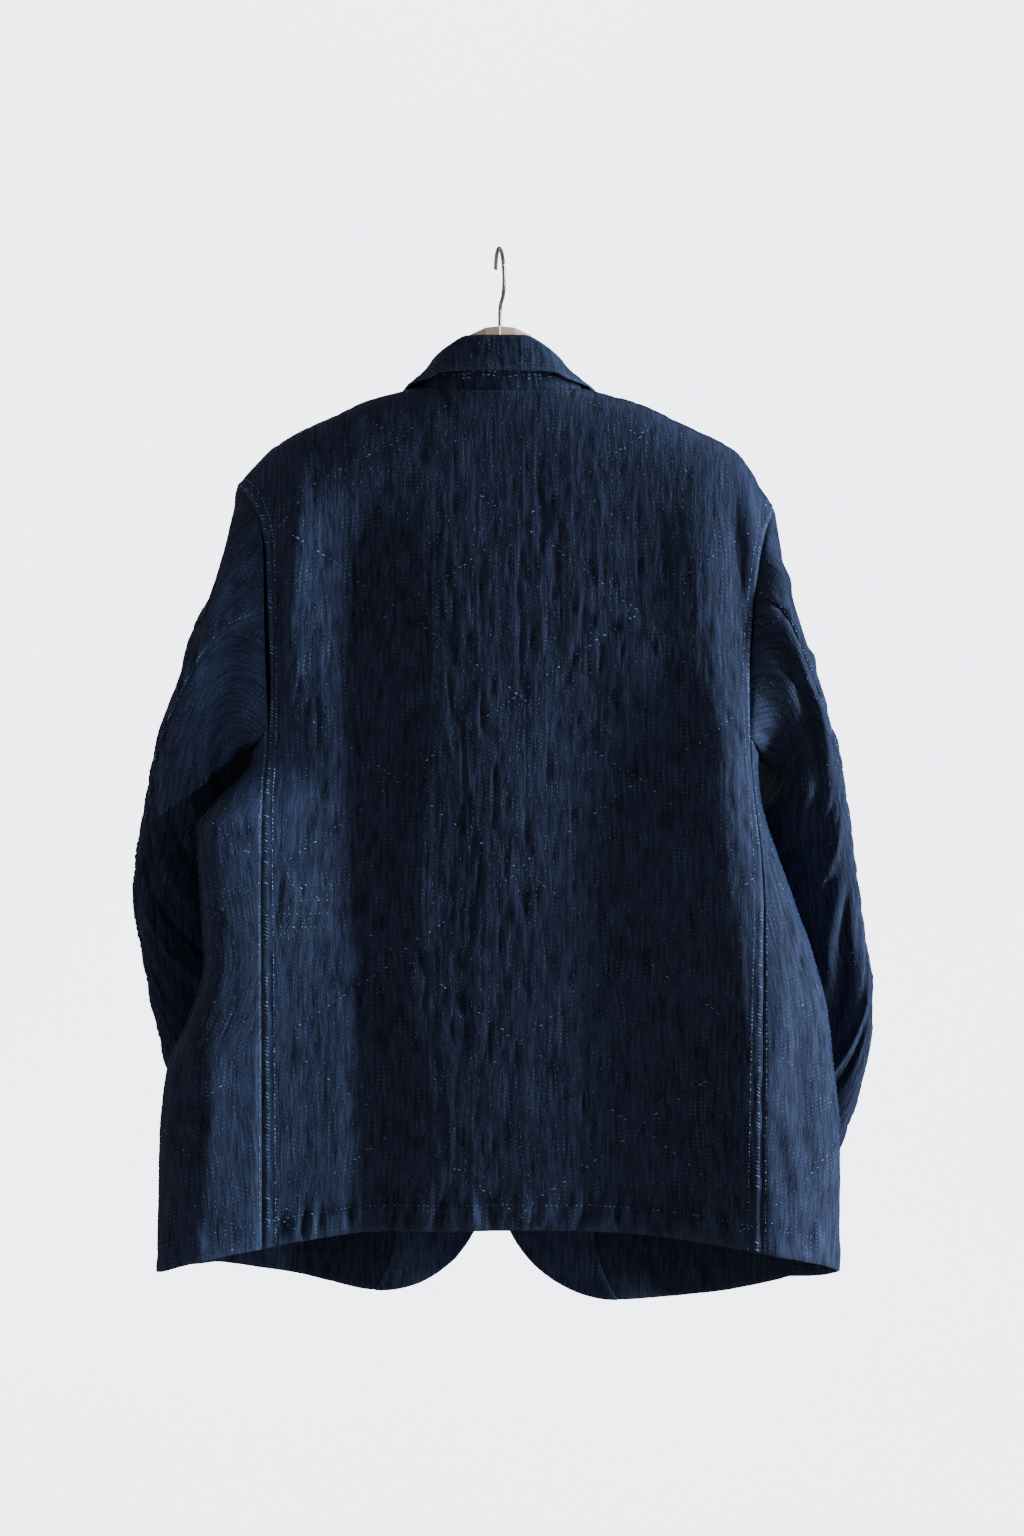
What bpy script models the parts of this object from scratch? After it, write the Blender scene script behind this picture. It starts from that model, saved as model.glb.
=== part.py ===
"""A quilted indigo jacket hanging on a wooden wishbone hanger with a steel hook.

The jacket's back faces +Y, its fronts face -Y and the wearer's left is +X. The origin is the
inside top of the hook, which is where the whole thing hangs. Sizes are in millimetres here,
and are turned into metres where each mesh is made.

Every cloth piece is a wall that is open where the garment is open. The body pieces share one
form, the torso, and the sleeves start on the armhole that is cut out of it, so that seams meet.
"""
from collections import namedtuple
from math import acos, atan2, cos, degrees, exp, pi, radians, sin, sqrt

import bmesh
import bpy
from mathutils import Vector

MM = 0.001
LEFT, RIGHT = 1, -1
SIDE_NAMES = {LEFT: "left", RIGHT: "right"}

CLOTH = 2.0                # thickness of the quilted cloth
SEAM = 0.2                 # how far each piece stops short of a seam
LAYER_GAP = 0.6            # clearance between cloth layers that lie on each other

# ---------------------------------------------------------------- sizes of the body

# Level by level: how far the body's edge stands out to each side, how far back its edge lies,
# how deep it is behind and in front, and how square its back corners and front corners are.
Girth = namedtuple("Girth", "z left right edge_y back front square_left square_right front_square")
GIRTHS = [
    Girth(-98, 262, 268, 0, 30, 28, 3.0, 3.0, 3.0),
    Girth(-122, 262, 268, 0, 34, 36, 3.0, 3.0, 3.0),
    Girth(-204, 247, 254, 0, 44, 52, 3.0, 3.0, 3.0),
    Girth(-260, 228, 240, 0, 47, 62, 3.0, 3.0, 3.0),
    Girth(-320, 221, 234, 0, 50, 72, 3.0, 3.0, 3.0),
    Girth(-380, 213, 228, 0, 53, 79, 2.9, 2.9, 2.8),
    Girth(-430, 209, 220, 3, 56, 82, 2.9, 2.8, 2.3),
    Girth(-440, 213, 218, 6, 57, 83, 2.9, 2.7, 2.0),
    Girth(-452, 224, 218, 9, 57, 83, 3.0, 2.6, 1.8),
    Girth(-468, 239, 219, 13, 57, 83, 4.0, 2.5, 1.6),
    Girth(-490, 253, 224, 16, 57, 82, 6.0, 2.6, 1.6),
    Girth(-546, 250, 244, 14, 56, 80, 8.0, 2.6, 1.6),
    Girth(-600, 247, 264, 9, 54, 76, 8.5, 2.6, 1.8),
    Girth(-650, 261, 277, 4, 53, 72, 8.5, 2.7, 2.1),
    Girth(-690, 279, 282, 0, 52, 69, 8.5, 2.8, 2.3),
    Girth(-755, 285.5, 287.5, 0, 51, 66, 8.5, 2.9, 2.4),
    Girth(-906, 287, 286, 0, 50, 62, 8.5, 2.9, 2.4),
]

# Long folds of the back and the fronts: where each crest or trough runs, how wide it is, how far
# it stands out (or in, below zero), and between which levels it fades in and out.
Fold = namedtuple("Fold", "face x_top x_bottom width height z_top z_bottom")
BACK, FRONT = 1, -1
FOLDS = [
    Fold(BACK, 165, 178, 32, 10, -170, -350),
    Fold(BACK, 238, 262, 68, 25, -370, -900),
    Fold(BACK, 108, 106, 32, -9, -190, -900),
    Fold(BACK, -162, -186, 26, 6, -170, -480),
    Fold(BACK, -192, -229, 38, 13, -330, -900),
    Fold(BACK, -78, -86, 46, -5, -310, -900),
    Fold(BACK, 14, 10, 50, 3, -380, -500),
    Fold(FRONT, 150, 170, 30, 8, -300, -900),
    Fold(FRONT, 95, 90, 26, -7, -420, -900),
    Fold(FRONT, -140, -160, 32, 8, -300, -900),
    Fold(FRONT, -85, -95, 28, -6, -420, -900),
]
FOLD_FADE = 90.0           # length over which a fold fades in and out
EDGE_FADE = 60.0           # power with which folds die out towards the body's edge

# The top of the body: the shoulder line from the neck to past the shoulder tip, on each side.
Shoulder = namedtuple("Shoulder", "x left right")
SHOULDERS = [
    Shoulder(0, -98, -98),
    Shoulder(40, -104, -104),
    Shoulder(75, -117.5, -118.5),
    Shoulder(115, -128.6, -129.4),
    Shoulder(140, -140.8, -140.5),
    Shoulder(168, -153.3, -154.0),
    Shoulder(192, -167.8, -165.7),
    Shoulder(204, -179.5, -175.0),
    Shoulder(214, -190.0, -189.5),
    Shoulder(225, -203.4, -207.0),
    Shoulder(233, -213.0, -219.6),
    Shoulder(270, -262.0, -275.0),
]
SHOULDER_ROUND = 62.0      # height over which the shoulders round over to the back
CHEST_ROUND = 78.0         # and to the front
ROUND_POWER = 2.2          # how square that rounding is: 2 would be a quarter of an ellipse
SIDEWAYS_SHARE = 0.3       # weight of the distance across, in telling outwards from inwards
RIDGE_Y = 2.0              # the shoulder seam lies a little behind the hanger's middle

NECK_X = 72.0              # half width of the neck at the shoulder seam
NECK_BACK_Z = -121.5       # lowest point of the neck seam, at the centre back

# The armholes: a loop round each side of the body. The loop angle runs from the shoulder tip (0)
# over the back (90), the underarm (180) and the front (270).
Armhole = namedtuple("Armhole", "z left right")
ARMHOLE_X = [
    Armhole(-203, 225, 240),
    Armhole(-210, 216, 236),
    Armhole(-220, 208, 233),
    Armhole(-237, 201, 226),
    Armhole(-260, 197.5, 219),
    Armhole(-300, 196.5, 213.5),
    Armhole(-350, 195.5, 210.5),
    Armhole(-440, 194, 209),
]
ARMHOLE_TOP = {LEFT: -203.4, RIGHT: -219.6}
ARMHOLE_BOTTOM = {LEFT: -425.0, RIGHT: -432.0}
UNDERARM = 147.0           # loop angle where the back and front seams reach the armhole
SLEEVE_BACK_SEAM = {LEFT: 88, RIGHT: 72}   # loop angles of the two seams of a sleeve
SLEEVE_FRONT_SEAM = 242
LOOP_STEPS = [0, 14, 28, 43, 58, 72, 88, 104, 118, 133, UNDERARM]
UNDERARM_STEPS = [UNDERARM, 158, 169, 180, 191, 202, 360 - UNDERARM]

SIDE_SEAM_X = {LEFT: (194.5, 196.0), RIGHT: (209.0, 217.0)}   # back seams: at the top, at the hem
FRONT_SEAM_X = {LEFT: (186.0, 246.0), RIGHT: (200.0, 250.0)}  # front seams: at the top, at the hem

HEM_LEVEL = -860.0         # about where the side seams meet the hem
SEAM_SETTLES = {BACK: -560.0, FRONT: HEM_LEVEL}  # where the seams have reached their hem places
ARMHOLE_SETTLES = -320.0   # below this, the armholes bend into the side seams

# The hems, from the centre outwards.
Hem = namedtuple("Hem", "x back_left back_right front_left front_right")
HEMS = [
    Hem(0, -824, -824, -894, -902),
    Hem(60, -824.5, -824.5, -894, -902),
    Hem(110, -826, -827, -894, -902.5),
    Hem(150, -830, -831, -887, -901),
    Hem(185, -835, -836, -878.5, -896),
    Hem(215, -842, -841, -872, -889),
    Hem(240, -851, -852, -867, -882),
    Hem(265, -857, -860, -864, -873),
    Hem(290, -862, -867, -862, -867),
]
WIDEST = 290.0             # distance across of the hems' outermost place

# The front edges: the turned-back part above the top button, the straight edge, the round corner.
FRONT_EDGE_X = {LEFT: 12.6, RIGHT: -2.6}   # measured outwards, so the right edge is past the centre
BREAK_Z = -400.0           # where the turned-back part ends
CORNER_RADIUS = {LEFT: 92.0, RIGHT: 105.0}

LOWER_ROWS = 11            # rows of the body's wall below the armholes
LOWER_CROWDING = 1.3       # power with which those rows crowd towards the armholes
SHOULDER_COLUMNS = 9       # columns from the shoulder tip to the neck
NECK_COLUMNS = 6

# ---------------------------------------------------------------- sizes of the sleeves

# Section by section down each sleeve: its middle, its width from the front fold to the back fold,
# its thickness, how steeply the section stands (90 is upright, as the armhole is), how far its
# back and front halves have turned so that the back fold faces outwards, and how square the
# corner between its top and its back fold is.
Section = namedtuple("Section", "x y z width thickness upright back_turn front_turn square")
SLEEVES = {
    LEFT: [
        Section(222, 0, -326, 94, 206, 88, 6, 20, 1.8),
        Section(226, -7, -354, 118, 178, 88, 26, 24, 1.6),
        Section(233, -19, -390, 136, 138, 80, 34, 32, 1.6),
        Section(239.5, -36, -426, 148, 100, 66, 40, 38, 1.8),
        Section(244.5, -48, -470, 152, 76, 48, 43, 43, 2.0),
        Section(252, -60, -514, 152, 63, 26, 46, 46, 2.1),
        Section(255, -70, -558, 150, 58, 8, 50, 50, 2.1),
        Section(245.5, -80, -620, 142, 54, -4, 57, 57, 2.1),
        Section(234, -93, -690, 134, 50, -8, 63, 63, 2.1),
        Section(217.5, -104, -750, 129, 47, -10, 66, 66, 2.1),
        Section(205, -111, -792, 126, 45, -10, 67, 67, 2.1),
    ],
    RIGHT: [
        Section(233, -5, -339, 94, 204, 89, 6, 24, 1.8),
        Section(235, -14, -366, 116, 174, 88, 22, 22, 1.6),
        Section(236.5, -21, -402, 134, 138, 80, 31, 29, 1.6),
        Section(239.5, -31, -440, 146, 102, 66, 37, 35, 1.8),
        Section(242.5, -45, -484, 151, 78, 50, 41, 41, 2.0),
        Section(248, -57, -530, 152, 64, 30, 44, 44, 2.1),
        Section(253.5, -67, -578, 151, 58, 13, 47, 47, 2.1),
        Section(263, -76, -630, 146, 55, 1, 51, 51, 2.1),
        Section(260.5, -89, -692, 138, 51, -9, 58, 58, 2.1),
        Section(246, -103, -757, 131, 48, -13, 64, 64, 2.1),
        Section(229, -112, -804, 127, 46, -13, 67, 67, 2.1),
    ],
}
SECTION_SQUARE = 2.1       # how square the rest of a section is: 2 would be an ellipse
FRONT_SWELL = 7.0          # how far a sleeve's head stands out between its top and its front fold
SLEEVE_ROWS = 17
SLEEVE_CROWDING = 1.15     # power with which a sleeve's rows crowd towards the armhole
MITRE_LIMIT = 0.7          # least cosine that a rim's direction at the armhole is stretched for

# ---------------------------------------------------------------- sizes of the collar and lapels

# Station by station from the centre back to the notch: where the neck seam lies across the body,
# where the collar folds over, and where its outer edge ends.
Station = namedtuple("Station", "seam_x fold edge")
COLLAR = [
    Station(0, (0, 34.0, -79.0), (0, 38.0, -107.6)),
    Station(16, (16, 33.5, -79.0), (17, 37.5, -107.6)),
    Station(32, (29, 31.5, -80.0), (31, 36, -107.5)),
    Station(48, (42.5, 27.5, -87.5), (48, 32.5, -108.5)),
    Station(61, (52, 19.5, -94.5), (59, 26, -112.5)),
    Station(69, (57, 9.0, -100.0), (73.5, 13, -115.5)),
    Station(72, (60, -4.0, -104.0), (78, -3, -115.5)),
    Station(71, (61, -17.0, -111.5), (85, -20, -121.0)),
    Station(69, (61, -29.0, -125.0), (91, -35, -135.5)),
    Station(65, (60, -40, -142.5), (96, -50, -160.0)),
]
FRONT_STATIONS = 3         # the last stations, whose seam lies on the fronts
FRONT_SEAM_DROP = (10.0, 22.0, 36.0)       # how far those lie below the neck's side point
STAND_GAP = 1.8            # how far the stand's lower edge stays above the cloth it is sewn to
FOLD_HALF = 1.9            # half the distance between the collar's stand and its fall
COLLAR_LEAN = 2.5          # how far the back of the collar leans over to the wearer's left
LEAN_ENDS = (4, 8)         # stations between which that lean dies out

LAPEL_TOP_INNER = (64.0, -168.0)
LAPEL_TOP_OUTER = (112.0, -192.0)
LAPEL_BELLY = 9.0          # how far the lapel's outer edge curves outwards
LAPEL_LIFT = 3.4           # height of a lapel's outer face over the front
LAPEL_INSET = 0.5          # how far its inner edge lies past the fold
LAPEL_END = 6.0            # how far above the top button its inner edge ends
LAPEL_TOE = 5.0            # its width at the top button
LAPEL_TAPER = 1.15         # power with which it narrows
LAPEL_COLUMNS = 5
LAPEL_ROWS = 10

FACING_COLUMNS = 3         # a facing is as wide as this many of the front's columns

BUTTON_RADIUS = 10.0
BUTTON_THICKNESS = 3.4
BUTTON_BEVEL = 0.8
BUTTON_RIM = 1.4           # width of the rim round the dished middle
BUTTON_DISH = 0.6          # depth of the dish
BUTTON_SHANK = 0.5         # how far the thread holds a button off the cloth
BUTTON_X = -14.5
BUTTON_LEVELS = (-412.0, -512.0, -612.0)

# ---------------------------------------------------------------- sizes of the hanger

Arm = namedtuple("Arm", "x top height thickness")
ARMS = [
    Arm(0.2, -64.0, 26, 14),
    Arm(12, -65.2, 26, 14),
    Arm(26, -71.6, 28, 14),
    Arm(40, -88.0, 31, 14),
    Arm(55, -110.0, 30, 14.5),
    Arm(72, -126.0, 27, 15.5),
    Arm(98, -131.5, 24, 18),
    Arm(130, -144.5, 23, 22),
    Arm(160, -158.5, 22, 27),
    Arm(186, -173.5, 20, 32),
    Arm(200, -186.0, 16, 34),
]
ARM_END = (206.0, -196.0)  # where the rounded end of an arm finishes: across, and its middle's height
ARM_END_SHARES = (0.6, 0.9)    # how far along the rounded end its two last sections stand
ARM_SIDES = 20
ARM_SQUARE = 2.6

HOOK_WIRE = 1.75           # radius of the wire
HOOK_RADIUS = 22.0         # radius of the hook's round, at the wire's middle
HOOK_TURN = 9.0            # the hook stands this many degrees off the fore-and-aft plane
HOOK_BEND = 12.0           # radius of the small bend between the stem and the round
HOOK_LEAVES = 235.0        # angle of the round at which the stem joins it
BEND_STEPS, ROUND_STEPS = 4, 18            # straight pieces of wire in the bend and the round

WOOD_TOP = -64.0           # top of the hanger's wood, where the wire leaves it
SEAT_GAP = 0.3             # clearance where one part sits on another


# ---------------------------------------------------------------- small tools

def read(rows, value, column):
    """Value of a column between a table's rows, on a smooth curve that doesn't overshoot."""
    keys = [row[0] for row in rows]
    data = [getattr(row, column) for row in rows]
    if keys[0] > keys[-1]:
        keys, data = keys[::-1], data[::-1]
    if value <= keys[0]:
        return data[0]
    if value >= keys[-1]:
        return data[-1]
    slopes = [(b - a) / (q - p) for p, q, a, b in zip(keys, keys[1:], data, data[1:])]
    tangents = [slopes[0]]
    for before, after in zip(slopes, slopes[1:]):
        same_way = before * after > 0
        tangents.append(2 * before * after / (before + after) if same_way else 0.0)
    tangents.append(slopes[-1])
    i = max(k for k in range(len(keys) - 1) if keys[k] <= value)
    span = keys[i + 1] - keys[i]
    t = (value - keys[i]) / span
    return ((2 * t**3 - 3 * t**2 + 1) * data[i] + (t**3 - 2 * t**2 + t) * span * tangents[i]
            + (3 * t**2 - 2 * t**3) * data[i + 1] + (t**3 - t**2) * span * tangents[i + 1])


def mix(a, b, t):
    return a + (b - a) * t


def smooth_step(value, start, end):
    t = min(max((value - start) / (end - start), 0.0), 1.0)
    return t * t * (3 - 2 * t)


def bend_through(points, t):
    """Point of a smooth curve through all the points, t counting them from 0."""
    i = min(int(t), len(points) - 2)
    f = t - i
    p1, p2 = points[i], points[i + 1]
    p0 = points[i - 1] if i > 0 else 2 * p1 - p2
    p3 = points[i + 2] if i + 2 < len(points) else 2 * p2 - p1
    return 0.5 * (2 * p1 + (p2 - p0) * f + (2 * p0 - 5 * p1 + 4 * p2 - p3) * f**2
                  + (3 * p1 - p0 - 3 * p2 + p3) * f**3)


def shoulder_z(side, x):
    return read(SHOULDERS, abs(x), SIDE_NAMES[side])


# ---------------------------------------------------------------- the form of the body

def fold_depth(face, x, z):
    """How far the long folds push the cloth out at a place on the back or the fronts."""
    total = 0.0
    for fold in FOLDS:
        if fold.face != face:
            continue
        along = (z - fold.z_top) / (fold.z_bottom - fold.z_top)
        crest = mix(fold.x_top, fold.x_bottom, min(max(along, 0.0), 1.0))
        fade_in = smooth_step(fold.z_top - z, 0, FOLD_FADE)
        fade = fade_in * (1 - smooth_step(fold.z_bottom - z, 0, FOLD_FADE))
        total += fold.height * fade * exp(-((x - crest) / fold.width) ** 2)
    return total


def squareness(side, face, z):
    return read(GIRTHS, z, f"square_{SIDE_NAMES[side]}" if face == BACK else "front_square")


def body_angle(side, face, x, z):
    """Angle round the body, from its edge (0) to the centre (90), at a distance across."""
    share = min(abs(x) / read(GIRTHS, z, SIDE_NAMES[side]), 1.0)
    return degrees(acos(share ** (squareness(side, face, z) / 2)))


def body_point(side, angle, z):
    """Point of the outer face of the body. A positive angle is on the back, a negative one in front."""
    face = BACK if angle >= 0 else FRONT
    square = squareness(side, face, z)
    across = max(cos(radians(angle)), 0.0) ** (2 / square)
    out = abs(sin(radians(angle))) ** (2 / square)
    x = side * read(GIRTHS, z, SIDE_NAMES[side]) * across
    edge_y = read(GIRTHS, z, "edge_y")
    deep = read(GIRTHS, z, "back") if face == BACK else read(GIRTHS, z, "front")
    round_height = SHOULDER_ROUND if face == BACK else CHEST_ROUND
    below = min(max((shoulder_z(side, x) - z) / round_height, 0.0), 1.0)
    cap = (1 - (1 - below) ** ROUND_POWER) ** (1 / ROUND_POWER)
    swell = fold_depth(face, x, z) * (1 - across ** EDGE_FADE)
    depth = edge_y + (face * deep - edge_y) * out + face * swell
    return Vector((x, RIDGE_Y + depth * cap, z))


def body_normal(side, angle, z):
    """Direction that the body's outer face looks in."""
    turn, drop = 0.4, 0.4
    along = body_point(side, angle + turn, z) - body_point(side, angle - turn, z)
    down = body_point(side, angle, z - drop) - body_point(side, angle, z + drop)
    normal = along.cross(down).normalized()
    # The face looks away from the upright line through the body's middle.
    place = body_point(side, angle, z)
    outward = Vector((place.x * SIDEWAYS_SHARE, place.y, 0))
    return normal if normal.dot(outward) > 0 else -normal


def on_body(side, face, x, z):
    """Point and direction of the back or a front, at a distance across and a level."""
    angle = face * body_angle(side, face, x, z)
    return body_point(side, angle, z), body_normal(side, angle, z)


def on_front(side, x, z):
    """Place on a front. Below zero, it is past the centre, as the right front's edge is."""
    return on_body(side if x >= 0 else -side, FRONT, abs(x), z)


def shoulder_top(side, x):
    """Point and direction of the shoulder seam."""
    ahead, behind = shoulder_z(side, x + 1), shoulder_z(side, x - 1)
    normal = Vector((side * (behind - ahead), 0, 2)).normalized()
    return Vector((side * x, RIDGE_Y, shoulder_z(side, x))), normal


# ---------------------------------------------------------------- armholes and side seams

def seam_top(side):
    """Level at which the side seams reach the armhole."""
    middle = (ARMHOLE_TOP[side] + ARMHOLE_BOTTOM[side]) / 2
    half = (ARMHOLE_TOP[side] - ARMHOLE_BOTTOM[side]) / 2
    return middle + half * cos(radians(UNDERARM))


def armhole_level(side, loop):
    middle = (ARMHOLE_TOP[side] + ARMHOLE_BOTTOM[side]) / 2
    half = (ARMHOLE_TOP[side] - ARMHOLE_BOTTOM[side]) / 2
    return middle + half * cos(radians(loop))


def seam_x(side, face, z):
    """Distance across of a side seam, which carries on down from the armhole."""
    top_x, hem_x = SIDE_SEAM_X[side] if face == BACK else FRONT_SEAM_X[side]
    return mix(top_x, hem_x, smooth_step(z, seam_top(side), SEAM_SETTLES[face]))


def armhole_x(side, face, z):
    """Distance across of the armhole. It runs into the side seam of its face."""
    x = read(ARMHOLE_X, z, SIDE_NAMES[side])
    return mix(x, seam_x(side, face, z), smooth_step(z, ARMHOLE_SETTLES, seam_top(side)))


def underarm_share(loop):
    """Where a loop angle under the arm lies between the back seam (1) and the front seam (-1)."""
    return cos(radians(loop / 2)) / cos(radians(UNDERARM / 2))


def side_angle(side, share, z):
    face = BACK if share >= 0 else FRONT
    return share * body_angle(side, face, seam_x(side, face, z), z)


def armhole(side, loop):
    """Point and direction of the armhole's edge at a loop angle."""
    if loop in (0, 360):
        x = read(ARMHOLE_X, ARMHOLE_TOP[side], SIDE_NAMES[side])
        return shoulder_top(side, x)
    z = armhole_level(side, loop)
    if UNDERARM <= loop <= 360 - UNDERARM:
        angle = side_angle(side, underarm_share(loop), z)
        return body_point(side, angle, z), body_normal(side, angle, z)
    face = BACK if loop < 180 else FRONT
    return on_body(side, face, armhole_x(side, face, z), z)


def hem_z(side, face, x):
    part = "back_" if face == BACK else "front_"
    return read(HEMS, abs(x), part + SIDE_NAMES[side])


# ---------------------------------------------------------------- making walls

def material(name, colour, roughness, metallic=0.0):
    made = bpy.data.materials.new(name)
    made.use_nodes = True
    shader = made.node_tree.nodes["Principled BSDF"]
    shader.inputs["Base Color"].default_value = (*colour, 1.0)
    shader.inputs["Roughness"].default_value = roughness
    shader.inputs["Metallic"].default_value = metallic
    return made


def add_object(name, bm, finish, sharp_angle=40):
    bmesh.ops.recalc_face_normals(bm, faces=bm.faces[:])
    mesh = bpy.data.meshes.new(name)
    bm.to_mesh(mesh)
    bm.free()
    mesh.shade_smooth()
    mesh.set_sharp_from_angle(angle=radians(sharp_angle))
    mesh.materials.append(finish)
    made = bpy.data.objects.new(name, mesh)
    bpy.context.collection.objects.link(made)
    return made


def stop_short(grid):
    """Draw the edges of a grid of (point, direction) pairs back from the seams."""
    rows, columns = len(grid), len(grid[0])
    moved = [[Vector(point) for point, _ in row] for row in grid]
    for r in range(rows):
        for c in range(columns):
            point = grid[r][c][0]
            for beyond, r2, c2 in ((r == 0, 1, c), (r == rows - 1, r - 1, c),
                                   (c == 0, r, 1), (c == columns - 1, r, c - 1)):
                if beyond:
                    moved[r][c] += (grid[r2][c2][0] - point).normalized() * SEAM
    return [[(moved[r][c], grid[r][c][1]) for c in range(columns)] for r in range(rows)]


def wall(name, grid, finish, thickness=CLOTH, lift=0.0):
    """Closed wall whose outer face runs through a grid of (point, direction) pairs."""
    grid = stop_short(grid)
    rows, columns = len(grid), len(grid[0])
    bm = bmesh.new()
    faces = []
    for depth in (lift, lift - thickness):
        faces.append([[bm.verts.new((point + normal * depth) * MM) for point, normal in row]
                      for row in grid])
    outer, inner = faces
    for r in range(rows - 1):
        for c in range(columns - 1):
            bm.faces.new((outer[r][c], outer[r][c + 1], outer[r + 1][c + 1], outer[r + 1][c]))
            bm.faces.new((inner[r][c], inner[r + 1][c], inner[r + 1][c + 1], inner[r][c + 1]))
    rim = ([(0, c) for c in range(columns)] + [(r, columns - 1) for r in range(1, rows)]
           + [(rows - 1, c) for c in range(columns - 2, -1, -1)]
           + [(r, 0) for r in range(rows - 2, 0, -1)])
    for (r1, c1), (r2, c2) in zip(rim, rim[1:] + rim[:1]):
        o1, i1, o2, i2 = outer[r1][c1], inner[r1][c1], outer[r2][c2], inner[r2][c2]
        # Rims that face each other over a seam are split the same way, so they stay apart.
        if o1.co.z > o2.co.z:
            corners = (o1, i1, i2), (o1, i2, o2)
        else:
            corners = (o1, i1, o2), (i1, i2, o2)
        for three in corners:
            bm.faces.new(three)
    return add_object(name, bm, finish)


# ---------------------------------------------------------------- the body's pieces

def side_levels(side, face):
    """Levels down a side seam, from the armhole to the hem."""
    top = seam_top(side)
    bottom = hem_z(side, face, seam_x(side, face, HEM_LEVEL))
    return [mix(top, bottom, (k / LOWER_ROWS) ** LOWER_CROWDING) for k in range(LOWER_ROWS + 1)]


def outer_edge(side, face):
    """Places down the outer edge of a back or front: the armhole, then the side seam."""
    loops = LOOP_STEPS if face == BACK else [360 - loop for loop in LOOP_STEPS]
    places = []
    for loop in loops:
        z = armhole_level(side, loop)
        places.append((armhole_x(side, face, z), z))
    places[0] = (read(ARMHOLE_X, ARMHOLE_TOP[side], SIDE_NAMES[side]), ARMHOLE_TOP[side])
    places[-1] = (seam_x(side, face, seam_top(side)), seam_top(side))
    return places + [(seam_x(side, face, z), z) for z in side_levels(side, face)[1:]]


def neck_z(side, x):
    """Level of the back neck seam, which rises to the shoulder line at its ends."""
    end = shoulder_z(side, NECK_X)
    return mix(NECK_BACK_Z, end, (abs(x) / NECK_X) ** 3)


def make_back(finish):
    left, right = outer_edge(LEFT, BACK), outer_edge(RIGHT, BACK)
    tips = {LEFT: left[0][0], RIGHT: right[0][0]}
    top = [mix(tips[LEFT], NECK_X, k / SHOULDER_COLUMNS) for k in range(SHOULDER_COLUMNS)]
    top += [mix(NECK_X, -NECK_X, k / NECK_COLUMNS) for k in range(NECK_COLUMNS)]
    top += [mix(-NECK_X, -tips[RIGHT], k / SHOULDER_COLUMNS) for k in range(SHOULDER_COLUMNS + 1)]
    grid = []
    for row, ((left_x, left_z), (right_x, right_z)) in enumerate(zip(left, right)):
        down = (left[0][1] - left_z) / (left[0][1] - left[-1][1])
        line = []
        for top_x in top:
            across = (tips[LEFT] - top_x) / (tips[LEFT] + tips[RIGHT])
            x = mix(left_x, -right_x, across)
            hem_x = mix(left[-1][0], -right[-1][0], across)
            side = LEFT if x >= 0 else RIGHT
            hem_side = LEFT if hem_x >= 0 else RIGHT
            top_side = LEFT if top_x >= 0 else RIGHT
            in_neck = abs(top_x) < NECK_X - 0.01
            start = neck_z(top_side, top_x) if in_neck else shoulder_z(top_side, top_x)
            level = mix(left_z, right_z, across)
            level += (1 - down) * (start - mix(left[0][1], right[0][1], across))
            level += down * (hem_z(hem_side, BACK, hem_x) - mix(left[-1][1], right[-1][1], across))
            if row == 0 and not in_neck:
                line.append(shoulder_top(top_side, abs(top_x)))
            else:
                line.append(on_body(side, BACK, x, level))
        if row < len(LOOP_STEPS):
            line[0] = (line[0][0], armhole_mitre(LEFT, LOOP_STEPS[row]))
            line[-1] = (line[-1][0], armhole_mitre(RIGHT, LOOP_STEPS[row]))
        grid.append(line)
    return wall("back", grid, finish)


def make_side_body(side, finish):
    """Panel under the arm, from the back seam round the body's edge to the front seam."""
    back_levels, front_levels = side_levels(side, BACK), side_levels(side, FRONT)
    grid = []
    for row in range(LOWER_ROWS + 1):
        down = row / LOWER_ROWS
        line = []
        for loop in UNDERARM_STEPS:
            share = underarm_share(loop)
            ends = mix(front_levels[row], back_levels[row], (share + 1) / 2)
            dip = (1 - down) * (armhole_level(side, loop) - back_levels[0])
            edge_hem = hem_z(side, BACK, WIDEST)
            bulge = down * (1 - share**2) * (edge_hem - (back_levels[-1] + front_levels[-1]) / 2)
            z = ends + dip + bulge
            angle = side_angle(side, share, z)
            way = body_normal(side, angle, z) if row else armhole_mitre(side, loop)
            line.append((body_point(side, angle, z), way))
        grid.append(line)
    return wall(f"side_body_{SIDE_NAMES[side]}", grid, finish)


def front_corner(side):
    """Middle and radius of the round corner at the bottom of a front edge."""
    radius = CORNER_RADIUS[side]
    x = FRONT_EDGE_X[side] + radius
    return x, hem_z(side, FRONT, x) + radius, radius


def inner_edge_x(side, z):
    """Distance across of a front's inner edge: the fold of the lapel, the edge, the corner."""
    neck = shoulder_z(side, NECK_X)
    if z > BREAK_Z:
        return mix(NECK_X, FRONT_EDGE_X[side], (neck - z) / (neck - BREAK_Z))
    middle_x, middle_z, radius = front_corner(side)
    if z > middle_z:
        return FRONT_EDGE_X[side]
    return middle_x - sqrt(max(radius**2 - (z - middle_z) ** 2, 0.0))


def front_hem_z(side, x):
    """Level of a front's hem, with the round corner."""
    middle_x, middle_z, radius = front_corner(side)
    if x < middle_x:
        return middle_z - sqrt(max(radius**2 - (x - middle_x) ** 2, 0.0))
    return hem_z(side, FRONT, x)


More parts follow.
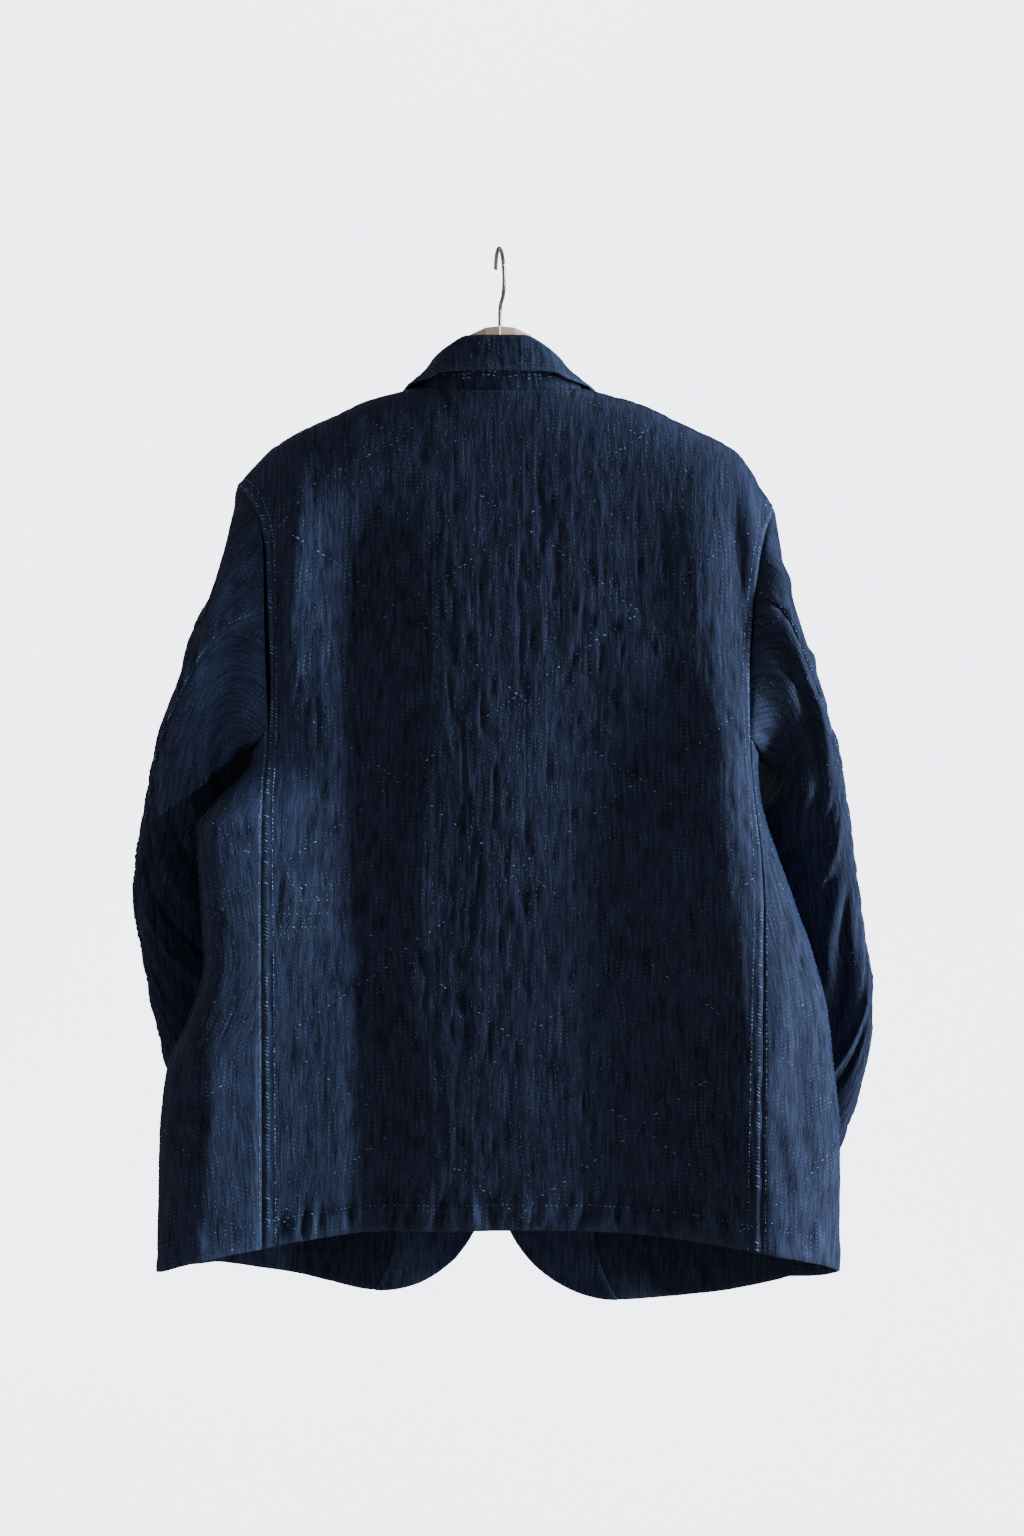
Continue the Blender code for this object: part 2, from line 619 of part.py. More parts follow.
def front_place(side, row, across):
    """Distance across and level of a place on a front: row by row, outer edge 0 to inner edge 1."""
    outer = outer_edge(side, FRONT)
    down = (outer[0][1] - outer[row][1]) / (outer[0][1] - outer[-1][1])
    middle_x, middle_z, radius = front_corner(side)
    inner_top, inner_bottom = shoulder_z(side, NECK_X), middle_z - radius * sqrt(0.5)
    inner_z = mix(inner_top, inner_bottom, down)
    x = mix(outer[row][0], inner_edge_x(side, inner_z), across)
    top_x = mix(outer[0][0], NECK_X, across)
    hem_x = mix(outer[-1][0], inner_edge_x(side, inner_bottom), across)
    z = mix(outer[row][1], inner_z, across)
    z += (1 - down) * (shoulder_z(side, top_x) - mix(outer[0][1], inner_top, across))
    z += down * (front_hem_z(side, hem_x) - mix(outer[-1][1], inner_bottom, across))
    return x, z


def front_grid(side):
    grid = []
    for row in range(len(LOOP_STEPS) + LOWER_ROWS):
        line = []
        for column in range(SHOULDER_COLUMNS + 1):
            x, z = front_place(side, row, column / SHOULDER_COLUMNS)
            if row == 0:
                line.append(shoulder_top(side, x))
            else:
                line.append(on_front(side, x, z))
        if row < len(LOOP_STEPS):
            line[0] = (line[0][0], armhole_mitre(side, (360 - LOOP_STEPS[row]) % 360))
        grid.append(line)
    return grid


def make_front_and_facing(side, cloth, facing_cloth):
    """A front, and its inner facing, which is made from the front's points, moved in."""
    grid = front_grid(side)
    wall(f"front_{SIDE_NAMES[side]}", grid, cloth)
    facing = [line[-FACING_COLUMNS - 1:] for line in grid[1:]]
    wall(f"facing_{SIDE_NAMES[side]}", facing, facing_cloth, lift=-CLOTH - LAYER_GAP)


def lapel_outline(side, down):
    """Inner and outer places of a lapel's row, from its top (0) to the top button (1)."""
    top_inner, top_outer = LAPEL_TOP_INNER, LAPEL_TOP_OUTER
    inner_z = mix(top_inner[1], BREAK_Z + LAPEL_END, down)
    inner_x = inner_edge_x(side, inner_z) - LAPEL_INSET
    outer_z = mix(top_outer[1], BREAK_Z, down)
    narrowing = down ** LAPEL_TAPER
    outer_x = mix(top_outer[0], inner_x + LAPEL_TOE, narrowing) + LAPEL_BELLY * sin(pi * down)
    return (inner_x, inner_z), (outer_x, outer_z)


def make_lapel(side, finish):
    grid = []
    for row in range(LAPEL_ROWS + 1):
        inner, outer = lapel_outline(side, row / LAPEL_ROWS)
        line = []
        for column in range(LAPEL_COLUMNS + 1):
            across = column / LAPEL_COLUMNS
            x, z = mix(inner[0], outer[0], across), mix(inner[1], outer[1], across)
            line.append(on_front(side, x, z))
        grid.append(line)
    return wall(f"lapel_{SIDE_NAMES[side]}", grid, finish, lift=LAPEL_LIFT)


# ---------------------------------------------------------------- the collar

def neck_seam(side, index):
    """Point in the middle of the cloth at the neck seam, at one of the collar's stations."""
    station = COLLAR[index]
    from_end = index - (len(COLLAR) - FRONT_STATIONS)
    if from_end >= 0:
        z = shoulder_z(side, NECK_X) - FRONT_SEAM_DROP[from_end]
        point, normal = on_body(side, FRONT, inner_edge_x(side, z), z)
    elif station.seam_x >= NECK_X:
        point, normal = shoulder_top(side, NECK_X)
    else:
        point, normal = on_body(side, BACK, station.seam_x, neck_z(side, station.seam_x))
    return point - normal * (CLOTH / 2)


def collar_section(side, index):
    """Middle line of the collar's cloth: up the stand, round the fold, down the fall."""
    station = COLLAR[index]
    fold = Vector((side * station.fold[0], station.fold[1], station.fold[2]))
    edge = Vector((side * station.edge[0], station.edge[1], station.edge[2]))
    lean = Vector((COLLAR_LEAN * (1 - smooth_step(index, *LEAN_ENDS)), 0, 0))
    fold, edge = fold + lean, edge + lean
    seam = neck_seam(side, index)
    seam = seam + (fold - seam).normalized() * STAND_GAP
    before, after = COLLAR[max(index - 1, 0)].fold, COLLAR[min(index + 1, len(COLLAR) - 1)].fold
    along = Vector((side * (after[0] - before[0]), after[1] - before[1], after[2] - before[2])).normalized()
    out = Vector((-side * along.y, side * along.x, 0)).normalized()
    up = (Vector((0, 0, 1)) - along * along.z).normalized()
    inner_turn = fold - out * FOLD_HALF - up * FOLD_HALF
    outer_turn = fold + out * FOLD_HALF - up * FOLD_HALF
    return [seam, seam.lerp(inner_turn, 0.5), inner_turn, fold, outer_turn,
            outer_turn.lerp(edge, 0.5), edge]


def make_collar(finish):
    stations = [collar_section(RIGHT, i) for i in range(len(COLLAR) - 1, 0, -1)]
    stations += [collar_section(LEFT, i) for i in range(len(COLLAR))]
    grid = []
    for s, section in enumerate(stations):
        before, after = stations[max(s - 1, 0)], stations[min(s + 1, len(stations) - 1)]
        line = []
        for k, point in enumerate(section):
            round_neck = after[k] - before[k]
            over = section[min(k + 1, len(section) - 1)] - section[max(k - 1, 0)]
            line.append((point, over.cross(round_neck).normalized()))
        grid.append(line)
    return wall("collar", grid, finish, lift=CLOTH / 2)


# ---------------------------------------------------------------- the sleeves

def section_ring(side, section, loop):
    """Point of a sleeve's section at a loop angle."""
    c, s = cos(radians(loop)), sin(radians(loop))
    turn = radians(section.back_turn if s >= 0 else section.front_turn)
    top_turn, upright = radians(section.back_turn), radians(section.upright)
    to_back_fold = Vector((side * sin(turn), cos(turn), 0))
    away = Vector((side * cos(top_turn), -sin(top_turn), 0))
    to_top = away * cos(upright) + Vector((0, 0, sin(upright)))
    square = 2 / (section.square if s >= 0 and c >= 0 else SECTION_SQUARE)
    along_top = (abs(c) ** square) * (1 if c >= 0 else -1) * section.thickness / 2
    along_fold = (abs(s) ** square) * (1 if s >= 0 else -1) * section.width / 2
    swell = FRONT_SWELL * 2 * max(c, 0) * max(-s, 0) * max(sin(upright), 0)
    middle = Vector((side * (section.x + swell), section.y, section.z))
    return middle + to_top * along_top + to_back_fold * along_fold


def sleeve_point(side, loop, down):
    rings = [armhole(side, loop % 360)[0]] + [section_ring(side, s, loop) for s in SLEEVES[side]]
    return bend_through(rings, down * (len(rings) - 1))


def sleeve_normal(side, loop, down):
    step_round, step_down = 7.0, 0.004
    around = sleeve_point(side, loop + step_round, down) - sleeve_point(side, loop - step_round, down)
    low, high = max(down - step_down, 0.0), min(down + step_down, 1.0)
    along = sleeve_point(side, loop, high) - sleeve_point(side, loop, low)
    normal = around.cross(along).normalized()
    return -normal if side == LEFT else normal


def armhole_mitre(side, loop):
    """Direction of the rims that meet at the armhole, half way between the body's and the sleeve's."""
    body_way = armhole(side, loop)[1]
    half = (body_way + sleeve_normal(side, loop, 0)).normalized()
    return half / max(half.dot(body_way), MITRE_LIMIT)


def make_sleeve_piece(side, name, loops, finish):
    grid = []
    for row in range(SLEEVE_ROWS + 1):
        down = (row / SLEEVE_ROWS) ** SLEEVE_CROWDING
        grid.append([(sleeve_point(side, loop, down),
                      sleeve_normal(side, loop, down) if row else armhole_mitre(side, loop))
                     for loop in loops])
    return wall(f"{name}_{SIDE_NAMES[side]}", grid, finish)


def make_sleeves(side, finish):
    mirrored = [360 - loop for loop in LOOP_STEPS]
    front = [loop for loop in mirrored if loop >= SLEEVE_FRONT_SEAM]
    back = [loop for loop in LOOP_STEPS if loop <= SLEEVE_BACK_SEAM[side]]
    top = sorted(front)[:-1] + back
    under = ([loop for loop in LOOP_STEPS if loop >= SLEEVE_BACK_SEAM[side]] + UNDERARM_STEPS[1:-1]
             + sorted(loop for loop in mirrored if loop <= SLEEVE_FRONT_SEAM))
    make_sleeve_piece(side, "top_sleeve", top, finish)
    make_sleeve_piece(side, "under_sleeve", under, finish)


# ---------------------------------------------------------------- buttons, hanger and hook

def make_button(number, z, finish):
    """Plain disc with a dished face, lying on the right front."""
    point, normal = on_body(RIGHT, FRONT, abs(BUTTON_X), z)
    bm = bmesh.new()
    bmesh.ops.create_cone(bm, cap_ends=True, segments=24, radius1=BUTTON_RADIUS * MM,
                          radius2=BUTTON_RADIUS * MM, depth=BUTTON_THICKNESS * MM)
    rim = [edge for edge in bm.edges if any(len(face.verts) > 4 for face in edge.link_faces)]
    bmesh.ops.bevel(bm, geom=rim, offset=BUTTON_BEVEL * MM, segments=2, affect="EDGES", profile=0.5)
    top = max(bm.faces, key=lambda face: face.calc_center_median().z)
    bmesh.ops.inset_region(bm, faces=[top], thickness=BUTTON_RIM * MM)
    bmesh.ops.translate(bm, verts=top.verts, vec=(0, 0, -BUTTON_DISH * MM))
    turn = Vector((0, 0, 1)).rotation_difference(normal).to_matrix().to_4x4()
    middle = (point + normal * (BUTTON_THICKNESS / 2 + SEAT_GAP + BUTTON_SHANK)) * MM
    bmesh.ops.transform(bm, verts=bm.verts[:], matrix=turn)
    bmesh.ops.translate(bm, verts=bm.verts[:], vec=middle)
    return add_object(f"button_{number}", bm, finish)


def arm_ring(bm, side, x, top, height, thickness):
    """Rounded section of a hanger arm, upright and fore and aft."""
    ring = []
    for k in range(ARM_SIDES):
        angle = 2 * pi * k / ARM_SIDES
        c, s = cos(angle), sin(angle)
        y = abs(c) ** (2 / ARM_SQUARE) * (1 if c >= 0 else -1) * thickness / 2
        z = abs(s) ** (2 / ARM_SQUARE) * (1 if s >= 0 else -1) * height / 2
        ring.append(bm.verts.new(Vector((side * x, y, top - height / 2 + z)) * MM))
    return ring


def make_hanger_arm(side, finish):
    bm = bmesh.new()
    rings = [arm_ring(bm, side, arm.x, arm.top, arm.height, arm.thickness) for arm in ARMS]
    last, (end_x, end_z) = ARMS[-1], ARM_END
    for share in ARM_END_SHARES:
        size = sqrt(1 - share**2)
        x = mix(last.x, end_x, share)
        middle = mix(last.top - last.height / 2, end_z, share)
        height = last.height * size
        rings.append(arm_ring(bm, side, x, middle + height / 2, height, last.thickness * size))
    for ring, following in zip(rings, rings[1:]):
        for k in range(ARM_SIDES):
            n = (k + 1) % ARM_SIDES
            bm.faces.new((ring[k], ring[n], following[n], following[k]))
    bm.faces.new(rings[0])
    bm.faces.new(rings[-1][::-1])
    return add_object(f"hanger_arm_{SIDE_NAMES[side]}", bm, finish)


def hook_route():
    """Middle line of the wire in its own plane: (along, up) pairs from the wood to the tip."""
    round_z = -(HOOK_RADIUS - HOOK_WIRE)
    leave = radians(HOOK_LEAVES)
    join = (HOOK_RADIUS * cos(leave), round_z + HOOK_RADIUS * sin(leave))
    heading = atan2(-cos(leave), sin(leave))          # direction of travel where the stem joins
    bend = heading - pi / 2
    bend_end_x = -HOOK_BEND * (1 - cos(bend))
    run = (join[0] - bend_end_x) / cos(heading)
    bend_z = join[1] - run * sin(heading) - HOOK_BEND * sin(bend)
    route = [(0.0, WOOD_TOP + SEAT_GAP), (0.0, (WOOD_TOP + bend_z) / 2)]
    for k in range(BEND_STEPS + 1):
        a = bend * k / BEND_STEPS
        route.append((-HOOK_BEND * (1 - cos(a)), bend_z + HOOK_BEND * sin(a)))
    for k in range(ROUND_STEPS + 1):
        a = mix(leave, 0.0, k / ROUND_STEPS)
        route.append((HOOK_RADIUS * cos(a), round_z + HOOK_RADIUS * sin(a)))
    return route


def make_hook(finish):
    curve = bpy.data.curves.new("hook", "CURVE")
    curve.dimensions = "3D"
    curve.bevel_depth = HOOK_WIRE * MM
    curve.bevel_resolution = 3
    curve.use_fill_caps = True
    spline = curve.splines.new("POLY")
    route = hook_route()
    spline.points.add(len(route) - 1)
    turn = radians(HOOK_TURN)
    for point, (along, up) in zip(spline.points, route):
        point.co = (along * sin(turn) * MM, along * cos(turn) * MM, up * MM, 1.0)
    curve.materials.append(finish)
    made = bpy.data.objects.new("hook", curve)
    bpy.context.collection.objects.link(made)
    return made


def main():
    for old in list(bpy.data.objects):
        bpy.data.objects.remove(old)
    cloth = material("indigo_cloth", (0.03, 0.045, 0.09), 0.9)
    facing_cloth = material("facing_cloth", (0.035, 0.05, 0.1), 0.9)
    wood = material("pale_wood", (0.52, 0.43, 0.34), 0.5)
    steel = material("hook_steel", (0.55, 0.55, 0.56), 0.3, metallic=1.0)
    horn = material("dark_horn", (0.02, 0.018, 0.02), 0.4)
    make_back(cloth)
    make_collar(cloth)
    for side in (LEFT, RIGHT):
        make_side_body(side, cloth)
        make_front_and_facing(side, cloth, facing_cloth)
        make_lapel(side, cloth)
        make_sleeves(side, cloth)
        make_hanger_arm(side, wood)
    for number, z in enumerate(BUTTON_LEVELS, start=1):
        make_button(number, z, horn)
    make_hook(steel)


main()
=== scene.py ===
"""Looks of a quilted indigo jacket hanging on a wooden hanger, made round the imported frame.

The jacket's back faces +Y, its fronts face -Y and the wearer's left is +X. Sizes are in
millimetres, and are turned into metres where each mesh is made. Every cloth piece is a thin wall
on the same form as the solid that it stands for, with its quilting, creases and seams as geometry.
"""

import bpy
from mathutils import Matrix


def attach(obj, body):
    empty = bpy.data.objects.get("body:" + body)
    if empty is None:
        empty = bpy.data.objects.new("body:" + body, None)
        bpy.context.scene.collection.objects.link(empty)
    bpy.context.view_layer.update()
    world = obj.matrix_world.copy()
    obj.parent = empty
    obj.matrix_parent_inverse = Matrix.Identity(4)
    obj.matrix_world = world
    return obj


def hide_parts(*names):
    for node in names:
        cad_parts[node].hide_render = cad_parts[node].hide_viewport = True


bl_info = {
    "name": "Quilted jacket on a hanger",
    "version": (1, 0, 0),
    "blender": (4, 5, 0),
    "location": "View3D > Sidebar > Jacket",
    "description": "Builds the cloth, stitches, buttons, hanger finishes and studio of a quilted jacket",
    "category": "Object",
}

from collections import namedtuple
from math import cos, pi, radians, sin, sqrt

import bpy
import numpy as np
from bpy.props import FloatProperty, FloatVectorProperty, PointerProperty
from mathutils import Vector

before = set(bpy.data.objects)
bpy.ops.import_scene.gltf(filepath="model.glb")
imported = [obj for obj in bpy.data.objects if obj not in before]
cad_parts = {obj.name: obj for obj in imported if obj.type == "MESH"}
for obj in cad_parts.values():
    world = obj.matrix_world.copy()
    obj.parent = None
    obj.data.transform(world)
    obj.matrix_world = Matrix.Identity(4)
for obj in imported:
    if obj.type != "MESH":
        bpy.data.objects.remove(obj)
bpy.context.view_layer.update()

MM = 0.001
LEFT, RIGHT = 1, -1
SIDE_NAMES = {LEFT: "left", RIGHT: "right"}

CLOTH = 2.0                # thickness of the quilted cloth
SEAM = 0.2                 # how far each piece stops short of a seam
LAYER_GAP = 0.6            # clearance between cloth layers that lie on each other


def table(columns, *rows):
    """Rows of numbers, whose columns have names."""
    row = namedtuple("Row", columns)
    return [row(*numbers) for numbers in rows]

# ------------------------ sizes of the body

# Level by level: how far the body's edge stands out to each side, how far back its edge lies,
# how deep it is behind and in front, and how square its back corners and front corners are.
GIRTHS = table("z left right edge_y back front square_left square_right front_square",
    (-98, 262, 268, 0, 30, 28, 3.0, 3.0, 3.0), (-122, 262, 268, 0, 34, 36, 3.0, 3.0, 3.0),
    (-204, 247, 254, 0, 44, 52, 3.0, 3.0, 3.0), (-260, 228, 240, 0, 47, 62, 3.0, 3.0, 3.0),
    (-320, 221, 234, 0, 50, 72, 3.0, 3.0, 3.0), (-380, 213, 228, 0, 53, 79, 2.9, 2.9, 2.8),
    (-430, 209, 220, 3, 56, 82, 2.9, 2.8, 2.3), (-440, 213, 218, 6, 57, 83, 2.9, 2.7, 2.0),
    (-452, 224, 218, 9, 57, 83, 3.0, 2.6, 1.8), (-468, 239, 219, 13, 57, 83, 4.0, 2.5, 1.6),
    (-490, 253, 224, 16, 57, 82, 6.0, 2.6, 1.6), (-546, 250, 244, 14, 56, 80, 8.0, 2.6, 1.6),
    (-600, 247, 264, 9, 54, 76, 8.5, 2.6, 1.8), (-650, 261, 277, 4, 53, 72, 8.5, 2.7, 2.1),
    (-690, 279, 282, 0, 52, 69, 8.5, 2.8, 2.3), (-755, 285.5, 287.5, 0, 51, 66, 8.5, 2.9, 2.4),
    (-906, 287, 286, 0, 50, 62, 8.5, 2.9, 2.4))

# Long folds of the back and the fronts: where each crest or trough runs, how wide it is, how far
# it stands out (or in, below zero), and between which levels it fades in and out.
BACK, FRONT = 1, -1
FOLDS = table("face x_top x_bottom width height z_top z_bottom",
    (BACK, 165, 178, 32, 10, -170, -350), (BACK, 238, 262, 68, 25, -370, -900),
    (BACK, 108, 106, 32, -9, -190, -900), (BACK, -162, -186, 26, 6, -170, -480),
    (BACK, -192, -229, 38, 13, -330, -900), (BACK, -78, -86, 46, -5, -310, -900),
    (BACK, 14, 10, 50, 3, -380, -500), (FRONT, 150, 170, 30, 8, -300, -900),
    (FRONT, 95, 90, 26, -7, -420, -900), (FRONT, -140, -160, 32, 8, -300, -900),
    (FRONT, -85, -95, 28, -6, -420, -900))
FOLD_FADE = 90.0           # length over which a fold fades in and out
EDGE_FADE = 60.0           # power with which folds die out towards the body's edge

# The top of the body: the shoulder line from the neck to past the shoulder tip, on each side.
SHOULDERS = table("x left right",
    (0, -98, -98), (40, -104, -104), (75, -117.5, -118.5), (115, -128.6, -129.4), (140, -140.8, -140.5),
    (168, -153.3, -154.0), (192, -167.8, -165.7), (204, -179.5, -175.0), (214, -190.0, -189.5),
    (225, -203.4, -207.0), (233, -213.0, -219.6), (270, -262.0, -275.0))
SHOULDER_ROUND = 62.0      # height over which the shoulders round over to the back
CHEST_ROUND = 78.0         # and to the front
ROUND_POWER = 2.2
RIDGE_Y = 2.0              # the shoulder seam lies a little behind the hanger's middle

NECK_X = 72.0              # half width of the neck at the shoulder seam
NECK_BACK_Z = -121.5       # lowest point of the neck seam, at the centre back

# The armholes: a loop round each side of the body. The loop angle runs from the shoulder tip (0)
# over the back (90), the underarm (180) and the front (270).
ARMHOLE_X = table("z left right",
    (-203, 225, 240), (-210, 216, 236), (-220, 208, 233), (-237, 201, 226), (-260, 197.5, 219),
    (-300, 196.5, 213.5), (-350, 195.5, 210.5), (-440, 194, 209))
ARMHOLE_TOP = {LEFT: -203.4, RIGHT: -219.6}
ARMHOLE_BOTTOM = {LEFT: -425.0, RIGHT: -432.0}
UNDERARM = 147.0           # loop angle where the back and front seams reach the armhole
SLEEVE_BACK_SEAM = {LEFT: 88, RIGHT: 72}   # loop angles of the two seams of a sleeve
SLEEVE_FRONT_SEAM = 242

SIDE_SEAM_X = {LEFT: (194.5, 196.0), RIGHT: (209.0, 217.0)}   # back seams: at the top, at the hem
FRONT_SEAM_X = {LEFT: (186.0, 246.0), RIGHT: (200.0, 250.0)}  # front seams: at the top, at the hem

SEAM_SETTLES = {BACK: -560.0, FRONT: -860.0}    # levels where the seams have reached their hem places

# The hems, from the centre outwards.
HEMS = table("x back_left back_right front_left front_right",
    (0, -824, -824, -894, -902), (60, -824.5, -824.5, -894, -902), (110, -826, -827, -894, -902.5),
    (150, -830, -831, -887, -901), (185, -835, -836, -878.5, -896), (215, -842, -841, -872, -889),
    (240, -851, -852, -867, -882), (265, -857, -860, -864, -873), (290, -862, -867, -862, -867))

# The front edges: the turned-back part above the top button, the straight edge, the round corner.
FRONT_EDGE_X = {LEFT: 12.6, RIGHT: -2.6}   # measured outwards, so the right edge is past the centre
BREAK_Z = -400.0
CORNER_RADIUS = {LEFT: 92.0, RIGHT: 105.0}

# ------------------------ sizes of the sleeves

# Section by section down each sleeve: its middle, its width from the front fold to the back fold,
# its thickness, how steeply the section stands (90 is upright, as the armhole is), how far its
# back and front halves have turned so that the back fold faces outwards, and how square the
# corner between its top and its back fold is.
SECTION_COLUMNS = "x y z width thickness upright back_turn front_turn square"
SLEEVES = {
    LEFT: table(SECTION_COLUMNS,
        (222, 0, -326, 94, 206, 88, 6, 20, 1.8), (226, -7, -354, 118, 178, 88, 26, 24, 1.6),
        (233, -19, -390, 136, 138, 80, 34, 32, 1.6), (239.5, -36, -426, 148, 100, 66, 40, 38, 1.8),
        (244.5, -48, -470, 152, 76, 48, 43, 43, 2.0), (252, -60, -514, 152, 63, 26, 46, 46, 2.1),
        (255, -70, -558, 150, 58, 8, 50, 50, 2.1), (245.5, -80, -620, 142, 54, -4, 57, 57, 2.1),
        (234, -93, -690, 134, 50, -8, 63, 63, 2.1), (217.5, -104, -750, 129, 47, -10, 66, 66, 2.1),
        (205, -111, -792, 126, 45, -10, 67, 67, 2.1)),
    RIGHT: table(SECTION_COLUMNS,
        (233, -5, -339, 94, 204, 89, 6, 24, 1.8), (235, -14, -366, 116, 174, 88, 22, 22, 1.6),
        (236.5, -21, -402, 134, 138, 80, 31, 29, 1.6), (239.5, -31, -440, 146, 102, 66, 37, 35, 1.8),
        (242.5, -45, -484, 151, 78, 50, 41, 41, 2.0), (248, -57, -530, 152, 64, 30, 44, 44, 2.1),
        (253.5, -67, -578, 151, 58, 13, 47, 47, 2.1), (263, -76, -630, 146, 55, 1, 51, 51, 2.1),
        (260.5, -89, -692, 138, 51, -9, 58, 58, 2.1), (246, -103, -757, 131, 48, -13, 64, 64, 2.1),
        (229, -112, -804, 127, 46, -13, 67, 67, 2.1)),
}
SECTION_SQUARE = 2.1       # how square the rest of a section is: 2 would be an ellipse
FRONT_SWELL = 7.0          # how far a sleeve's head stands out between its top and its front fold

# ------------------------ sizes of the collar and lapels

# Station by station from the centre back to the notch: where the neck seam lies across the body,
# where the collar folds over, and where its outer edge ends.
COLLAR = table("seam_x fold edge",
    (0, (0, 34.0, -79.0), (0, 38.0, -107.6)), (16, (16, 33.5, -79.0), (17, 37.5, -107.6)),
    (32, (29, 31.5, -80.0), (31, 36, -107.5)), (48, (42.5, 27.5, -87.5), (48, 32.5, -108.5)),
    (61, (52, 19.5, -94.5), (59, 26, -112.5)), (69, (57, 9.0, -100.0), (73.5, 13, -115.5)),
    (72, (60, -4.0, -104.0), (78, -3, -115.5)), (71, (61, -17.0, -111.5), (85, -20, -121.0)),
    (69, (61, -29.0, -125.0), (91, -35, -135.5)), (65, (60, -40, -142.5), (96, -50, -160.0)))
FRONT_STATIONS = 3         # the last stations, whose seam lies on the fronts
FRONT_SEAM_DROP = (10.0, 22.0, 36.0)       # how far those lie below the neck's side point
STAND_GAP = 0.3            # how far the stand's lower edge stays above the cloth it is sewn to
FOLD_HALF = 1.9            # half the distance between the collar's stand and its fall
TUCK_IN, TUCK_DOWN = 2.4, 5.0              # how far the stand reaches in and down past the neck seam
NECK_CENTRE_Y = -12.0
COLLAR_LEAN = 2.5          # how far the back of the collar leans over to the wearer's left

LAPEL_TOP_INNER = (64.0, -168.0)
LAPEL_TOP_OUTER = (112.0, -192.0)
LAPEL_BELLY = 9.0          # how far the lapel's outer edge curves outwards
LAPEL_LIFT = 3.4

FACING_SHARE = 1 / 3       # how much of a front's width its facing takes

BUTTON_RADIUS = 10.0
BUTTON_THICKNESS = 3.4
BUTTON_X = -14.5
BUTTON_LEVELS = (-412.0, -512.0, -612.0)
BUTTON_GAP = 0.9           # room for the thread between a button and the cloth

# ------------------------ reading the tables

CURVES = {}


def curve_of(rows, column):
    """Keys, values and tangents of a table's column, kept from one call to the next."""
    name = (id(rows), column)
    if name not in CURVES:
        keys = np.array([row[0] for row in rows], float)
        data = np.array([getattr(row, column) for row in rows], float)
        if keys[0] > keys[-1]:
            keys, data = keys[::-1], data[::-1]
        slopes = np.diff(data) / np.diff(keys)
        before, after = slopes[:-1], slopes[1:]
        same_way = before * after > 0
        total = np.where(same_way, before + after, 1.0)
        tangents = np.concatenate(([slopes[0]], np.where(same_way, 2 * before * after / total, 0.0),
                                   [slopes[-1]]))
        CURVES[name] = keys, data, tangents
    return CURVES[name]


def read(rows, value, column):
    """Value of a column between a table's rows, on a smooth curve that doesn't overshoot."""
    keys, data, tangents = curve_of(rows, column)
    value = np.clip(np.asarray(value, float), keys[0], keys[-1])
    i = np.clip(np.searchsorted(keys, value, side="right") - 1, 0, len(keys) - 2)
    span = keys[i + 1] - keys[i]
    t = (value - keys[i]) / span
    return ((2 * t**3 - 3 * t**2 + 1) * data[i] + (t**3 - 2 * t**2 + t) * span * tangents[i]
            + (3 * t**2 - 2 * t**3) * data[i + 1] + (t**3 - t**2) * span * tangents[i + 1])


def by_side(rows, side, value, part=""):
    """The left or the right column, as the side is above or below zero."""
    return np.where(np.asarray(side) >= 0, read(rows, value, part + "left"),
                    read(rows, value, part + "right"))


def mix(a, b, t):
    return a + (b - a) * t


def smooth_step(value, start, end):
    t = np.clip((np.asarray(value, float) - start) / (end - start), 0.0, 1.0)
    return t * t * (3 - 2 * t)


def along_curves(points, t):
    """Points of smooth curves through rows of points, t counting the rows from 0."""
    points = np.asarray(points, float)
    t = np.asarray(t, float)
    i = np.clip(t.astype(int), 0, len(points) - 2)
    f = (t - i).reshape((-1,) + (1,) * (points.ndim - 1))
    first, last = 2 * points[0] - points[1], 2 * points[-1] - points[-2]
    padded = np.concatenate(([first], points, [last]))
    p0, p1, p2, p3 = padded[i], padded[i + 1], padded[i + 2], padded[i + 3]
    return 0.5 * (2 * p1 + (p2 - p0) * f + (2 * p0 - 5 * p1 + 4 * p2 - p3) * f**2
                  + (3 * p1 - p0 - 3 * p2 + p3) * f**3)


def unit(vectors):
    return vectors / np.maximum(np.linalg.norm(vectors, axis=-1, keepdims=True), 1e-9)


def run_along(line):
    """Distance along a line of points, at each of them."""
    return np.concatenate(([0.0], np.cumsum(np.linalg.norm(np.diff(line, axis=0), axis=1))))


def ridge(distance, width):
    return np.exp(-(distance / width) ** 2)


# ------------------------ the form of the body

E = 2.718                  # as far as the folds need it


def shoulder_z(x):
    return by_side(SHOULDERS, x, np.abs(x))


def fold_depth(face, x, z):
    """How far the long folds push the cloth out at a place on the back or the fronts."""
    total = np.zeros(np.broadcast(x, z).shape)
    for fold in FOLDS:
        along = (z - fold.z_top) / (fold.z_bottom - fold.z_top)
        crest = mix(fold.x_top, fold.x_bottom, np.clip(along, 0.0, 1.0))
        start, end = (smooth_step(level - z, 0, FOLD_FADE) for level in (fold.z_top, fold.z_bottom))
        swell = fold.height * start * (1 - end) * E ** (-((x - crest) / fold.width) ** 2)
        total += np.where(face == fold.face, swell, 0.0)
    return total


def squareness(side, face, z):
    behind = by_side(GIRTHS, side, z, "square_")
    return np.where(face == BACK, behind, read(GIRTHS, z, "front_square"))


def body_angle(face, x, z):
    """Angle round the body, from its edge (0) to the centre (90), at a place across."""
    share = np.minimum(np.abs(x) / by_side(GIRTHS, x, z), 1.0)
    return np.degrees(np.arccos(share ** (squareness(x, face, z) / 2)))


